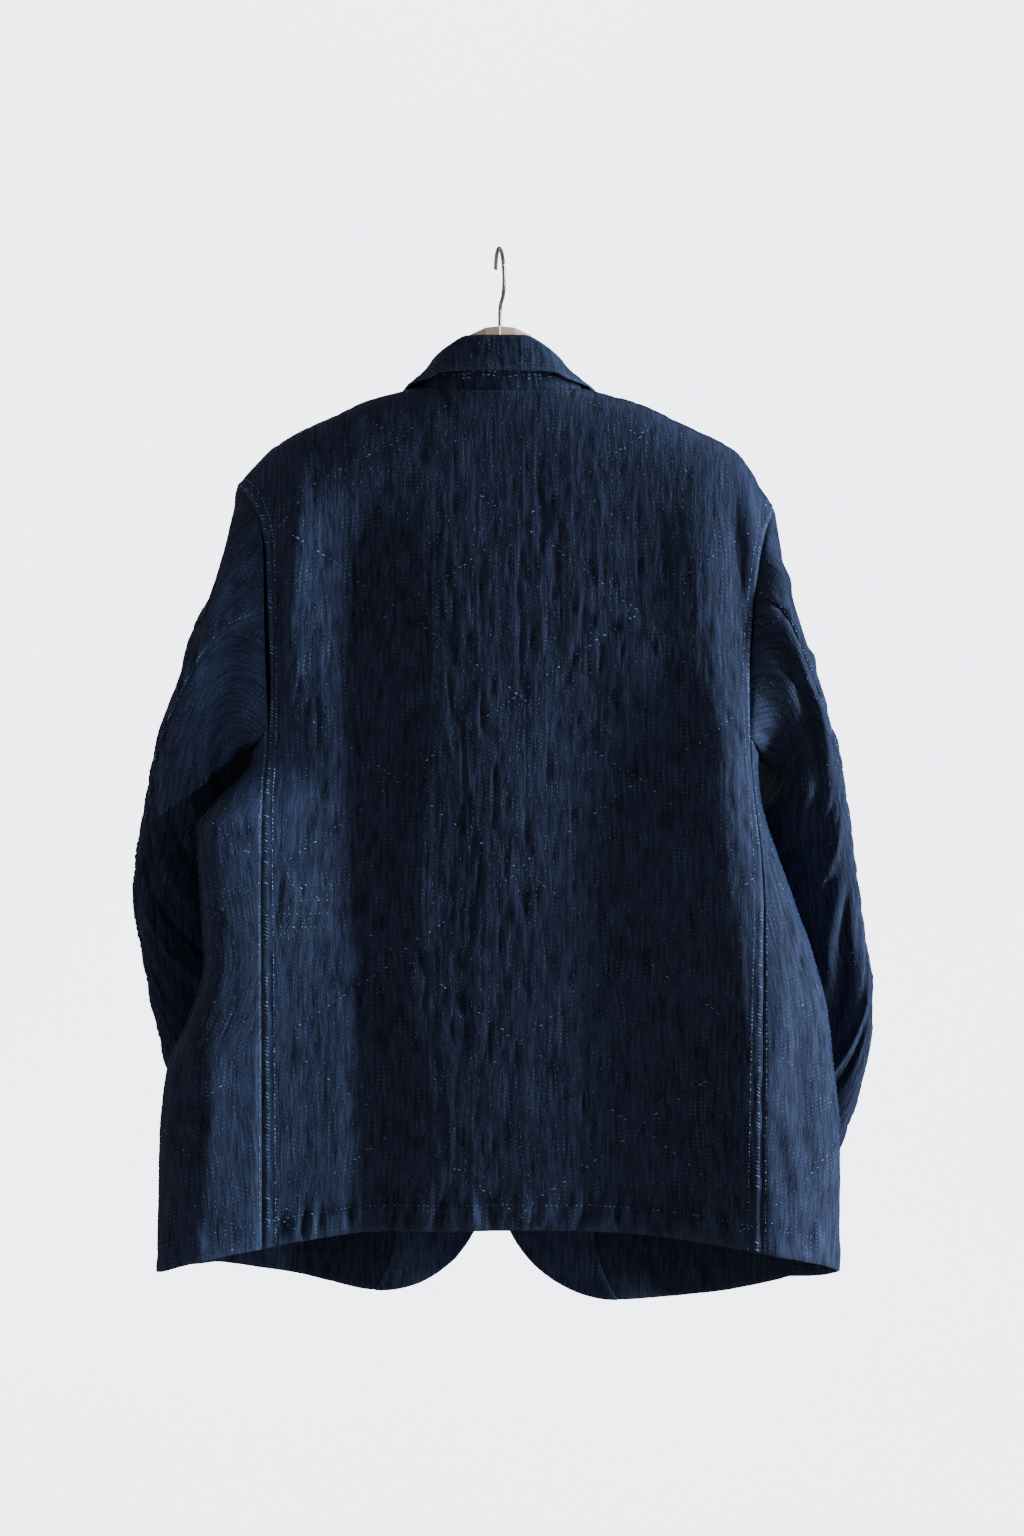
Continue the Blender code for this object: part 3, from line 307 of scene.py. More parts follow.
def body_point(side, angle, z):
    """Points of the body's outer face. A positive angle is on the back, a negative one in front."""
    side, angle, z = np.broadcast_arrays(side, np.asarray(angle, float), np.asarray(z, float))
    face = np.where(angle >= 0, BACK, FRONT)
    square = squareness(side, face, z)
    across = np.maximum(np.cos(np.radians(angle)), 0.0) ** (2 / square)
    out = np.abs(np.sin(np.radians(angle))) ** (2 / square)
    x = side * by_side(GIRTHS, side, z) * across
    edge_y = read(GIRTHS, z, "edge_y")
    deep = np.where(face == BACK, read(GIRTHS, z, "back"), read(GIRTHS, z, "front"))
    round_height = np.where(face == BACK, SHOULDER_ROUND, CHEST_ROUND)
    below = np.clip((by_side(SHOULDERS, side, np.abs(x)) - z) / round_height, 0.0, 1.0)
    cap = (1 - (1 - below) ** ROUND_POWER) ** (1 / ROUND_POWER)
    swell = fold_depth(face, x, z) * (1 - across ** EDGE_FADE)
    depth = edge_y + (face * deep - edge_y) * out + face * swell
    return np.stack([x, RIDGE_Y + depth * cap, z], axis=-1)


def on_body(face, x, z):
    """Points of the back or the fronts, at places across and levels."""
    side = np.where(np.asarray(x) >= 0, LEFT, RIGHT)
    return body_point(side, face * body_angle(face, x, z), z)


def out_of_body(face, x, z, step):
    """Direction that points out of the cloth at a place on the back or the fronts."""
    along = on_body(face, x + step, z) - on_body(face, x - step, z)
    down = on_body(face, x, z - step) - on_body(face, x, z + step)
    normal = unit(np.cross(along, down))
    return normal if normal[1] * face > 0 else -normal


def neck_z(x):
    """Level of the back's neck seam."""
    return mix(NECK_BACK_Z, shoulder_z(NECK_X * np.sign(x)), (np.abs(x) / NECK_X) ** 3)


# ------------------------ armholes and side seams

def armhole_level(side, loop):
    top, bottom = ARMHOLE_TOP[side], ARMHOLE_BOTTOM[side]
    return (top + bottom) / 2 + (top - bottom) / 2 * np.cos(np.radians(loop))


def seam_top(side):
    """Level at which the side seams reach the armhole."""
    return float(armhole_level(side, UNDERARM))


def seam_x(side, face, z):
    """Distance across of a side seam, which carries on down from the armhole."""
    top_x, hem_x = SIDE_SEAM_X[side] if face == BACK else FRONT_SEAM_X[side]
    return mix(top_x, hem_x, smooth_step(z, seam_top(side), SEAM_SETTLES[face]))


def armhole_x(side, face, z):
    """Distance across of the armhole. It runs into the side seam of its face."""
    x = read(ARMHOLE_X, z, SIDE_NAMES[side])
    return mix(x, seam_x(side, face, z), smooth_step(z, -320, seam_top(side)))


def underarm_share(loop):
    """Where a loop angle under the arm lies between the back seam (1) and the front seam (-1)."""
    return np.cos(np.radians(loop / 2)) / cos(radians(UNDERARM / 2))


def side_angle(side, share, z):
    back = body_angle(BACK, side * seam_x(side, BACK, z), z)
    front = body_angle(FRONT, side * seam_x(side, FRONT, z), z)
    return share * np.where(share >= 0, back, front)


def armhole(side, loop):
    """Points of the armhole's edge at loop angles."""
    loop = np.asarray(loop, float) % 360
    z = armhole_level(side, loop)
    under = side_angle(side, underarm_share(loop), z)
    back = body_angle(BACK, side * armhole_x(side, BACK, z), z)
    front = -body_angle(FRONT, side * armhole_x(side, FRONT, z), z)
    angle = np.where(loop < 180, back, front)
    below = (loop >= UNDERARM) & (loop <= 360 - UNDERARM)
    return body_point(side, np.where(below, under, angle), z)


def hem_z(side, face, x):
    part = "back_" if face == BACK else "front_"
    return by_side(HEMS, side, np.abs(x), part)


# ------------------------ grids of the cloth pieces

HEM_LEVEL = -860           # where the seams have come to their places at the hem
FINE = 1500                # points on a line that is measured before it is shared out evenly
# Usual sizes of the pieces, which set how many rows and columns their grids get.
SIDE_ROUND = 130
FRONT_WIDTH = 235
LAPEL_LENGTH, LAPEL_WIDTH = 250, 60
COLLAR_ROUND, STAND_LENGTH, FALL_LENGTH = 360, 42, 30


def even_rows(place, step):
    """Shares down a piece that lie evenly, step apart, on the line that place(share) follows."""
    share = np.linspace(0.0, 1.0, FINE) ** 2.2
    length = run_along(place(share))
    rows = max(int(round(length[-1] / step)), 4)
    return np.interp(np.linspace(0.0, length[-1], rows + 1), length, share)


def tip_x(side):
    """Distance across of the shoulder tip."""
    return float(read(ARMHOLE_X, ARMHOLE_TOP[side], SIDE_NAMES[side]))


def back_places(down, top_x):
    """Places across and levels of the back: shares down it, and where each column starts on top."""
    down = np.asarray(down, float)[:, None]
    top_x = np.asarray(top_x, float)[None, :]
    edge, bottom = {}, {}
    for side in SIDE_NAMES:
        hem_x = seam_x(side, BACK, HEM_LEVEL)
        bottom[side] = (float(hem_x), float(hem_z(side, BACK, hem_x)))
        z = mix(ARMHOLE_TOP[side], bottom[side][1], down)
        edge[side] = (armhole_x(side, BACK, z), z)
    across = (tip_x(LEFT) - top_x) / (tip_x(LEFT) + tip_x(RIGHT))
    x = mix(edge[LEFT][0], -edge[RIGHT][0], across)
    hem_x = mix(bottom[LEFT][0], -bottom[RIGHT][0], across)
    start = np.where(np.abs(top_x) < NECK_X, neck_z(top_x), shoulder_z(top_x))
    level = mix(edge[LEFT][1], edge[RIGHT][1], across)
    level = level + (1 - down) * (start - mix(ARMHOLE_TOP[LEFT], ARMHOLE_TOP[RIGHT], across))
    level += down * (hem_z(hem_x, BACK, hem_x) - mix(bottom[LEFT][1], bottom[RIGHT][1], across))
    return x, level


def back_grid(step_across, step_down):
    columns = int((tip_x(LEFT) + tip_x(RIGHT)) / step_across)
    top_x = np.linspace(tip_x(LEFT), -tip_x(RIGHT), columns + 1)
    down = even_rows(lambda share: on_body(BACK, *back_places(share, [110.0]))[:, 0], step_down)
    return on_body(BACK, *back_places(down, top_x))


def side_body_grid(side, step_across, step_down):
    """Panel under the arm, from the back seam round the body's edge to the front seam."""
    top = seam_top(side)
    ends = {face: float(hem_z(side, face, seam_x(side, face, HEM_LEVEL))) for face in (BACK, FRONT)}
    rows = int((top - ends[BACK]) / step_down)
    down = (np.linspace(0.0, 1.0, rows + 1) ** 1.1)[:, None]
    share_line = np.linspace(UNDERARM, 360 - UNDERARM, int(SIDE_ROUND / step_across) + 1)
    share = underarm_share(share_line)[None, :]
    level = mix(mix(top, ends[FRONT], down), mix(top, ends[BACK], down), (share + 1) / 2)
    dip = (1 - down) * (armhole_level(side, share_line)[None, :] - top)
    edge_hem = float(hem_z(side, BACK, 290))
    bulge = down * (1 - share**2) * (edge_hem - (ends[BACK] + ends[FRONT]) / 2)
    z = level + dip + bulge
    return body_point(side, side_angle(side, np.broadcast_to(share, z.shape), z), z)


def front_corner(side):
    """Middle and radius of the round corner at the bottom of a front edge."""
    radius = CORNER_RADIUS[side]
    x = FRONT_EDGE_X[side] + radius
    return x, float(hem_z(side, FRONT, x)) + radius, radius


def inner_edge_x(side, z):
    """Distance across of a front's inner edge: the fold of the lapel, the edge, the corner."""
    neck = float(shoulder_z(side * NECK_X))
    middle_x, middle_z, radius = front_corner(side)
    fold = mix(NECK_X, FRONT_EDGE_X[side], (neck - z) / (neck - BREAK_Z))
    corner = middle_x - np.sqrt(np.maximum(radius**2 - (z - middle_z) ** 2, 0.0))
    straight = np.full(np.shape(z), FRONT_EDGE_X[side])
    return np.where(z > BREAK_Z, fold, np.where(z > middle_z, straight, corner))


def front_places(side, down, across):
    """Distances across and levels of a front: shares down it, outer edge 0 to inner edge 1."""
    down = np.asarray(down, float)[:, None]
    across = np.asarray(across, float)[None, :]
    hem_edge = float(seam_x(side, FRONT, HEM_LEVEL))
    bottom = float(hem_z(side, FRONT, hem_edge))
    outer_z = mix(ARMHOLE_TOP[side], bottom, down)
    middle_x, middle_z, radius = front_corner(side)
    inner_top = float(shoulder_z(side * NECK_X))
    inner_bottom = middle_z - radius * sqrt(0.5)
    inner_z = mix(inner_top, inner_bottom, down)
    x = mix(armhole_x(side, FRONT, outer_z), inner_edge_x(side, inner_z), across)
    top_x = mix(tip_x(side), NECK_X, across)
    hem_x = mix(hem_edge, float(inner_edge_x(side, np.array(inner_bottom))), across)
    corner = middle_z - np.sqrt(np.maximum(radius**2 - (hem_x - middle_x) ** 2, 0.0))
    hem = np.where(hem_x < middle_x, corner, hem_z(side, FRONT, hem_x))
    z = mix(outer_z, inner_z, across)
    z = z + (1 - down) * (shoulder_z(side * top_x) - mix(ARMHOLE_TOP[side], inner_top, across))
    z += down * (hem - mix(bottom, inner_bottom, across))
    return side * x, z


def front_grid(side, step_across, step_down, start=0.0, end=1.0):
    down = even_rows(lambda share: on_body(FRONT, *front_places(side, share, [0.5]))[:, 0], step_down)
    columns = int(FRONT_WIDTH * (end - start) / step_across)
    return on_body(FRONT, *front_places(side, down, np.linspace(start, end, columns + 1)))


def lapel_grid(side, step_across, step_down):
    """The turned-back part of a front, from its top to the top button."""
    down = np.linspace(0.0, 1.0, int(LAPEL_LENGTH / step_down) + 1)
    inner_z = mix(LAPEL_TOP_INNER[1], BREAK_Z + 6, down)
    inner_x = inner_edge_x(side, inner_z) - 0.5
    outer_z = mix(LAPEL_TOP_OUTER[1], BREAK_Z, down)
    outer_x = mix(LAPEL_TOP_OUTER[0], inner_x + 5, down ** 1.15) + LAPEL_BELLY * np.sin(pi * down)
    across = np.linspace(0.0, 1.0, int(LAPEL_WIDTH / step_across) + 1)[None, :]
    x = mix(inner_x[:, None], outer_x[:, None], across)
    return on_body(FRONT, side * x, mix(inner_z[:, None], outer_z[:, None], across))


# ------------------------ the collar

def neck_seam(side, index):
    """Point in the middle of the cloth at the neck seam, at one of the collar's stations."""
    station = COLLAR[index]
    from_end = index - (len(COLLAR) - FRONT_STATIONS)
    neck_side = float(shoulder_z(side * NECK_X))
    if from_end >= 0:
        z = neck_side - FRONT_SEAM_DROP[from_end]
        face, x = FRONT, side * float(inner_edge_x(side, np.array(z)))
    elif station.seam_x >= NECK_X:
        return np.array([side * NECK_X, RIDGE_Y, neck_side - CLOTH / 2])
    else:
        face, x = BACK, side * station.seam_x
        z = neck_z(x)
    return on_body(face, x, z) - out_of_body(face, x, z, 0.5) * CLOTH / 2


def collar_section(side, index):
    """Middle line of the collar's cloth: up the stand, round the fold, down the fall."""
    station = COLLAR[index]
    lean = np.array([COLLAR_LEAN * (1 - float(smooth_step(index, 4, 8))), 0, 0])
    fold, edge = (np.array([side * x, y, z]) + lean for x, y, z in (station.fold, station.edge))
    seam = neck_seam(side, index)
    seam = seam + unit(fold - seam) * STAND_GAP
    before, after = COLLAR[max(index - 1, 0)].fold, COLLAR[min(index + 1, len(COLLAR) - 1)].fold
    along = unit(np.array([side * (after[0] - before[0]), after[1] - before[1], after[2] - before[2]]))
    out = unit(np.array([-side * along[1], side * along[0], 0]))
    up = unit(np.array([0, 0, 1.0]) - along * along[2])
    inner_turn, outer_turn = (fold + way * out * FOLD_HALF - up * FOLD_HALF for way in (-1, 1))
    # The stand starts a little inside the neck, behind the cloth it is sewn to.
    centre = np.array([0, NECK_CENTRE_Y, 0])
    inwards = unit((centre - seam) * np.array([1, 1, 0]))
    tucked = seam + inwards * TUCK_IN - np.array([0, 0, TUCK_DOWN])
    return [tucked, mix(seam + inwards * TUCK_IN, inner_turn, 0.25), inner_turn, fold, outer_turn,
            mix(outer_turn, edge, 0.5), edge]


def collar_grid(step_across, step_down):
    """Middle of the collar's cloth: rows from the neck seam over the fold, columns round the neck."""
    stations = np.array([collar_section(RIGHT, i) for i in range(len(COLLAR) - 1, 0, -1)]
                        + [collar_section(LEFT, i) for i in range(len(COLLAR))])
    columns = int(COLLAR_ROUND / step_across) + 1
    fine = along_curves(stations, np.linspace(0, len(stations) - 1, columns))
    steps = [np.linspace(0, 2, int(STAND_LENGTH / step_down))[:-1], np.linspace(2, 4, 9)[:-1],
             np.linspace(4, 6, int(FALL_LENGTH / step_down))]
    return along_curves(np.swapaxes(fine, 0, 1), np.concatenate(steps))


# ------------------------ the sleeves

def section_ring(side, section, loop):
    """Points of a sleeve's section at loop angles."""
    c, s = np.cos(np.radians(loop)), np.sin(np.radians(loop))
    turn = np.radians(np.where(s >= 0, section.back_turn, section.front_turn))
    top_turn, upright = radians(section.back_turn), radians(section.upright)
    to_back_fold = np.stack([side * np.sin(turn), np.cos(turn), np.zeros_like(turn)], axis=-1)
    away = np.array([side * cos(top_turn), -sin(top_turn), 0])
    to_top = away * cos(upright) + np.array([0, 0, sin(upright)])
    square = 2 / np.where((s >= 0) & (c >= 0), section.square, SECTION_SQUARE)
    along_top, along_fold = (np.abs(way) ** square * np.where(way >= 0, 1, -1) * size / 2
                             for way, size in ((c, section.thickness), (s, section.width)))
    swell = FRONT_SWELL * 2 * np.maximum(c, 0) * np.maximum(-s, 0) * max(sin(upright), 0)
    middle = np.stack([side * (section.x + swell), np.full_like(c, section.y),
                       np.full_like(c, section.z)], axis=-1)
    return middle + to_top * along_top[:, None] + to_back_fold * along_fold[:, None]


def sleeve_grid(side, first, last, step_across, step_down):
    """One piece of a sleeve, between two loop angles. The last may lie past a full turn."""
    fine = np.linspace(first, last, 400)
    rings = np.array([armhole(side, fine)] + [section_ring(side, s, fine) for s in SLEEVES[side]])
    length = run_along(rings[len(rings) // 2])
    even = np.linspace(0, length[-1], int(length[-1] / step_across) + 1)
    picked = np.round(np.interp(even, length, np.arange(len(fine)))).astype(int)
    knots = rings[:, picked]
    fine = np.linspace(0, len(knots) - 1, 1200)
    way = run_along(along_curves(knots[:, len(picked) // 2], fine))
    rows = int(way[-1] / step_down)
    return along_curves(knots, np.interp(np.linspace(0, way[-1], rows + 1), way, fine))


# ------------------------ cloth pieces

ROW = 7.6                  # distance between rows of quilting stitches
RUFFLES = 256              # how many waves before the irregular ones start again
RUFFLE = np.random.default_rng(7).random((RUFFLES, RUFFLES)) * 2 - 1
STRIP = 7.8                # width of a felled seam's strip
HEM_TURN = 21.0            # height of the turned-up hem
EDGE_ROUND = 0.9           # how much of a seam's gap the rounded rims fill


def ruffle(a, b, seed=0):
    """Smooth irregular waves between -1 and 1, one apart along a and along b."""
    a, b = np.asarray(a, float) + seed * 17.31, np.asarray(b, float) + seed * 5.77
    i, j = np.floor(a).astype(int), np.floor(b).astype(int)
    f, g = (t * t * (3 - 2 * t) for t in (a - i, b - j))
    low, high = (mix(RUFFLE[i % RUFFLES, k % RUFFLES], RUFFLE[(i + 1) % RUFFLES, k % RUFFLES], f)
                 for k in (j, j + 1))
    return mix(low, high, g)


def round_edge(grid):
    """Values of a grid at the places round its edge, in order."""
    return np.concatenate((grid[0], grid[1:, -1], grid[-1, -2::-1], grid[-2:0:-1, 0]))


class Cloth:
    """A cloth piece: a grid of places, how far each lies across and down it, and its stitches."""

    def __init__(self, name, grid, outward, thickness=CLOTH, lift=0.0, echo=0.35):
        self.name, self.thickness, self.lift, self.echo = name, thickness, lift, echo
        self.grid = self.stop_short(grid)
        self.x, self.z = self.grid[..., 0], self.grid[..., 2]
        self.normal = self.normals(self.grid, outward)
        along, down = (np.linalg.norm(np.diff(self.grid, axis=axis), axis=2) for axis in (1, 0))
        self.left = np.cumsum(np.pad(along, ((0, 0), (1, 0))), axis=1)
        self.right = self.left[:, -1:] - self.left
        self.top = np.cumsum(np.pad(down, ((1, 0), (0, 0))), axis=0)
        self.bottom = self.top[-1:] - self.top
        self.across = self.left - self.left[:, -1:] / 2
        self.stitches = []

    def ends(self):
        return np.minimum(self.left, self.right)

    def fade(self, **edges):
        """Fades in from edges: for each, the distances where its fade starts and ends."""
        total = 1.0
        for edge, limits in edges.items():
            total = total * smooth_step(getattr(self, edge), *limits)
        return total

    def inside(self, **edges):
        """1 where a place lies further than these distances from the edges, otherwise 0."""
        return np.prod([getattr(self, edge) > distance for edge, distance in edges.items()], axis=0,
                       dtype=float)

    def wear(self, **edges):
        """Sets how worn the cloth is near edges: how much, how wide and how far from the edge."""
        self.worn = sum(amount * ridge(getattr(self, edge) - sum(place), width)
                        for edge, (amount, width, *place) in edges.items())

    @staticmethod
    def stop_short(grid):
        moved = grid.copy()
        for end, before in ((0, 1), (-1, -2)):
            moved[end] += unit(grid[before] - grid[end]) * SEAM
            moved[:, end] += unit(grid[:, before] - grid[:, end]) * SEAM
        return moved

    @staticmethod
    def normals(grid, outward):
        normal = unit(np.cross(np.gradient(grid, axis=1), np.gradient(grid, axis=0)))
        middle = tuple(n // 2 for n in grid.shape[:2])
        return normal if normal[middle] @ np.array(outward, float) > 0 else -normal

    def flat_size(self):
        """Width, length and area that the piece was cut to, in metres."""
        a = np.diff(self.grid, axis=1)[:-1]
        b = np.diff(self.grid, axis=0)[:, :-1]
        area = np.linalg.norm(np.cross(a, b), axis=2).sum() * MM * MM
        return float(self.left.max() * MM), float(self.top.max() * MM), float(area)

    def finish_face(self, folds, relief):
        """Moves both faces by the folds and the outer face by the relief, and keeps the outer face."""
        self.relief = relief
        shared = self.lift - self.thickness + folds + self.echo * relief
        self.inner = self.grid + self.normal * shared[..., None]
        self.face = self.grid + self.normal * (self.lift + folds + relief)[..., None]
        middle = tuple(n // 2 for n in self.face.shape[:2])
        self.face_normal = self.normals(self.face, self.normal[middle])

    def at(self, row, column, grid):
        """Values of a grid at fractional rows and columns."""
        i = np.clip(row.astype(int), 0, grid.shape[0] - 2)
        j = np.clip(column.astype(int), 0, grid.shape[1] - 2)
        f, g = (row - i)[:, None], (column - j)[:, None]
        values = grid if grid.ndim == 3 else grid[..., None]
        found = ((values[i, j] * (1 - g) + values[i, j + 1] * g) * (1 - f)
                 + (values[i + 1, j] * (1 - g) + values[i + 1, j + 1] * g) * f)
        return found if grid.ndim == 3 else found[:, 0]

    def line_where(self, field, value):
        """Runs of (row, column) places, one a row, where a field passes through a value."""
        sign = field - value
        crossing = sign[:, :-1] * sign[:, 1:] <= 0
        found = crossing.any(axis=1)
        column = crossing.argmax(axis=1)
        rows = np.nonzero(found)[0]
        if len(rows) < 2:
            return []
        c = column[rows]
        before, after = sign[rows, c], sign[rows, c + 1]
        share = np.where(before == after, 0.0, before / np.where(before == after, 1.0, before - after))
        runs = np.split(np.arange(len(rows)), np.nonzero(np.diff(rows) > 1)[0] + 1)
        return [(rows[run].astype(float), (c + share)[run]) for run in runs if len(run) > 1]

    def sew(self, rows, columns, pitch, length, width, height=0.45, jitter=0.15, seed=1, skip=0.0,
            keep=None, turn=0.0, tone=0.5, sway=0.1, behind=False):
        """Sews stitches along a line of places. Turn sets each stitch at an angle to the line."""
        face = self.inner if behind else self.face
        run = run_along(self.at(rows, columns, face))
        count = int(run[-1] / pitch)
        if count < 1:
            return
        chance = np.random.default_rng(abs(seed))
        at = (np.arange(count) + 0.5 + chance.uniform(-jitter, jitter, count)) * pitch
        keeps = chance.random(count) >= skip
        sizes = chance.uniform(0.75, 1.25, count)
        tones = np.clip(tone * chance.uniform(0.15, 1.25, count) ** 1.6, 0, 1)
        turns = turn + chance.normal(0, 0.10, count)
        row, column = np.interp(at, run, rows), np.interp(at, run, columns)
        ahead = np.interp(at + 0.5, run, rows), np.interp(at + 0.5, run, columns)
        if keep is not None:
            keeps &= self.at(row, column, keep) > 0.5
        point = self.at(row, column, face)
        way = unit(self.at(ahead[0], ahead[1], face) - point)
        normal = unit(self.at(row, column, self.face_normal)) * (-1 if behind else 1)
        side = unit(np.cross(normal, way))
        way = np.cos(turns)[:, None] * way + np.sin(turns)[:, None] * side
        side = np.cross(normal, way)
        point = point + side * chance.normal(0, sway, count)[:, None]
        for k in np.nonzero(keeps)[0]:
            self.stitches.append((point[k], way[k], side[k], normal[k], length * sizes[k], width,
                                  height, tones[k]))

    def build(self):
        """Makes the piece's mesh: outer face, inner face and a rounded rim."""
        rows, columns = self.face.shape[:2]
        count = rows * columns
        face_rim, inside = round_edge(self.face), np.pad(
            self.face[1:-1, 1:-1], ((1, 1), (1, 1), (0, 0)), mode="edge")
        outward = unit(face_rim - round_edge(inside))
        edge = (face_rim + round_edge(self.inner)) / 2 + outward * SEAM * EDGE_ROUND
        vertices = np.concatenate((self.face.reshape(-1, 3), self.inner.reshape(-1, 3), edge)) * MM
        index = np.arange(count).reshape(rows, columns)
        outer, middle = round_edge(index), np.arange(len(edge)) + 2 * count
        bands = [np.stack([np.roll(a, -1), a, b, np.roll(b, -1)], axis=-1)
                 for a, b in ((outer, middle), (middle, outer + count))]
        faces = np.stack([index[:-1, :-1], index[:-1, 1:], index[1:, 1:], index[1:, :-1]], axis=-1)
        faces = faces.reshape(-1, 4)
        faces = np.concatenate((faces, faces[:, ::-1] + count, *bands))
        if self.flipped():
            faces = faces[:, ::-1]
        pattern = np.stack([self.across, self.top], axis=-1).reshape(-1, 2)
        relief, worn = self.relief.ravel(), self.worn.ravel()
        # The relief also drives the cloth's colour: painted shade in its hollows and a painted highlight
        # on its ridges.
        values = {"relief": np.concatenate((relief, relief * 0.3, relief[outer])),
                  "worn": np.concatenate((worn, worn * 0.5, np.ones(len(edge))))}
        pattern = np.concatenate((pattern, pattern, pattern[outer])) * MM
        return mesh_object(self.name, vertices, faces, pattern, values)

    def flipped(self):
        """Whether faces that run along the rows and then down would look inwards."""
        i, j = (n // 2 for n in self.face.shape[:2])
        looks = np.cross(self.face[i, j + 1] - self.face[i, j], self.face[i + 1, j] - self.face[i, j])
        return looks @ self.normal[i, j] < 0


def mesh_object(name, vertices, faces, pattern=None, values=()):
    mesh = bpy.data.meshes.new(name)
    mesh.from_pydata(vertices.tolist(), [], faces.tolist())
    if pattern is not None:
        layer = mesh.uv_layers.new(name="Cloth")
        corners = np.empty(len(mesh.loops), int)
        mesh.loops.foreach_get("vertex_index", corners)
        layer.data.foreach_set("uv", pattern[corners].astype(np.float32).ravel())
    for key, data in dict(values).items():
        held = mesh.attributes.new(key, "FLOAT", "POINT")
        held.data.foreach_set("value", np.asarray(data, np.float32))
    mesh.shade_smooth()
    mesh.update()
    made = bpy.data.objects.new(name, mesh)
    bpy.context.scene.collection.objects.link(made)
    return made


# One stitch: a low ridge of thread that comes out of the cloth and goes back in.
STITCH_POINTS = np.array([(-0.5, 0, -0.3), (-0.22, -0.5, 0), (-0.22, 0.5, 0), (-0.2, 0, 1),
                          (0.22, -0.5, 0), (0.22, 0.5, 0), (0.2, 0, 1), (0.5, 0, -0.3)])
STITCH_FACES = np.array([(0, 1, 3), (0, 3, 2), (0, 2, 1), (1, 4, 3), (3, 4, 6), (3, 6, 2), (2, 6, 5),
                         (1, 2, 4), (2, 5, 4), (4, 7, 6), (6, 7, 5), (4, 5, 7)])


def stitches_object(name, stitches):
    """All the stitches of a piece as one mesh, with a tone for each."""
    point, way, side, normal = (np.array([s[k] for s in stitches]) for k in range(4))
    sizes = np.array([s[4:7] for s in stitches])
    shape = STITCH_POINTS[None] * sizes[:, None, :]
    vertices = (point[:, None] + shape[..., :1] * way[:, None] + shape[..., 1:2] * side[:, None]
                + (shape[..., 2:] - 0.05) * normal[:, None])
    faces = STITCH_FACES[None] + (np.arange(len(stitches)) * len(STITCH_POINTS))[:, None, None]
    tone = np.repeat([s[7] for s in stitches], len(STITCH_POINTS))
    return mesh_object(name, vertices.reshape(-1, 3) * MM, faces.reshape(-1, 3), None, {"tone": tone})


def crease_height(creases, x, z):
    """Soft ridges and troughs, each along a short line and fading at both ends."""
    total = np.zeros_like(x)
    for crease in creases:
        dx, dz = crease.x2 - crease.x1, crease.z2 - crease.z1
        length = (dx * dx + dz * dz) ** 0.5
        along = ((x - crease.x1) * dx + (z - crease.z1) * dz) / length**2
        beside = ((x - crease.x1) * dz - (z - crease.z1) * dx) / length
        fade = smooth_step(along, -0.12, 0.3) * smooth_step(along, 1.12, 0.7)
        total += crease.height * fade * ridge(beside, crease.width)
    return total


def quilting(across, down, seed, strength=1.0):
    """Ridges between the rows of stitches, with uneven puckers along them, and the row's wander."""
    wander = 1.8 * ruffle(across / 60, down / 70, seed) + 1.3 * ruffle(across / 9, down / 22, seed + 1)
    rows = (across + wander) / ROW
    puff = np.abs(np.sin(pi * rows)) ** 0.8 - 0.55
    lively = 0.5 + 0.5 * ruffle(across / 17, down / 30, seed + 2)
    slanted = across + 7 * ruffle(across / 90, down / 110, seed + 6)
    streak = ruffle(slanted / 3.9, down / 15, seed + 7)
    pucker = ruffle(slanted / 6.0, down / 24, seed + 3)
    broad = ruffle(across / 13, down / 62, seed + 4)
    cross = ruffle(across / 12, down / 9, seed + 5)
    nick = np.maximum(ruffle(slanted / 5.5, down / 19, seed + 8) - 0.42, 0)
    relief = (0.34 * puff * lively + 0.18 * streak + 0.24 * pucker + 0.34 * broad + 0.14 * cross
              - 1.9 * nick)
    return strength * relief, rows


def seam_dip(distance, depth=1.0, width=2.0):
    return -depth * ridge(distance, width)


def strip(distance, down, seed=0):
    """A felled seam: a low flat strip between two sewn grooves, with puckers across it."""
    inside = smooth_step(distance, 0.6, 1.8) * smooth_step(distance, STRIP + 0.6, STRIP - 0.9)
    ladder = 0.28 * np.sin(2 * pi * down / 5.4 + 1.5 * ruffle(down / 21, 0, seed))
    grooves = 0.55 * (ridge(distance - 1.6, 0.9) + ridge(distance - STRIP, 1.0))
    wavering = 0.3 + 0.4 * ruffle(down / 13, 0, seed + 1)
    return inside * (wavering + ladder) - grooves, smooth_step(distance, STRIP + 1, STRIP + 7)


def hem(distance, along, seed, ends):
    """A turned-up hem: a thicker band under a sewn groove, with puckers across the stitches."""
    band = 0.55 * smooth_step(distance, HEM_TURN + 0.8, HEM_TURN - 1.2)
    groove = 1.1 * ridge(distance - HEM_TURN, 1.4)
    leaning = along + 0.3 * distance * ruffle(along / 45, 0, seed + 1)
    pull = 1.3 * ruffle(leaning / 6.5, distance / 30, seed)
    pull += 0.5 * ruffle(leaning / 3.9, distance / 20, seed)
    pucker = 2.0 * smooth_step(ends, 2, 20) * pull * ridge(distance - HEM_TURN * 0.55, 14)
    quiet = 0.45 + 0.55 * smooth_step(distance, HEM_TURN, HEM_TURN + 8)
    return band - groove + pucker, quiet


# ------------------------ the pieces' own creases

def creases(*rows):
    return table("x1 z1 x2 z2 width height", *rows)


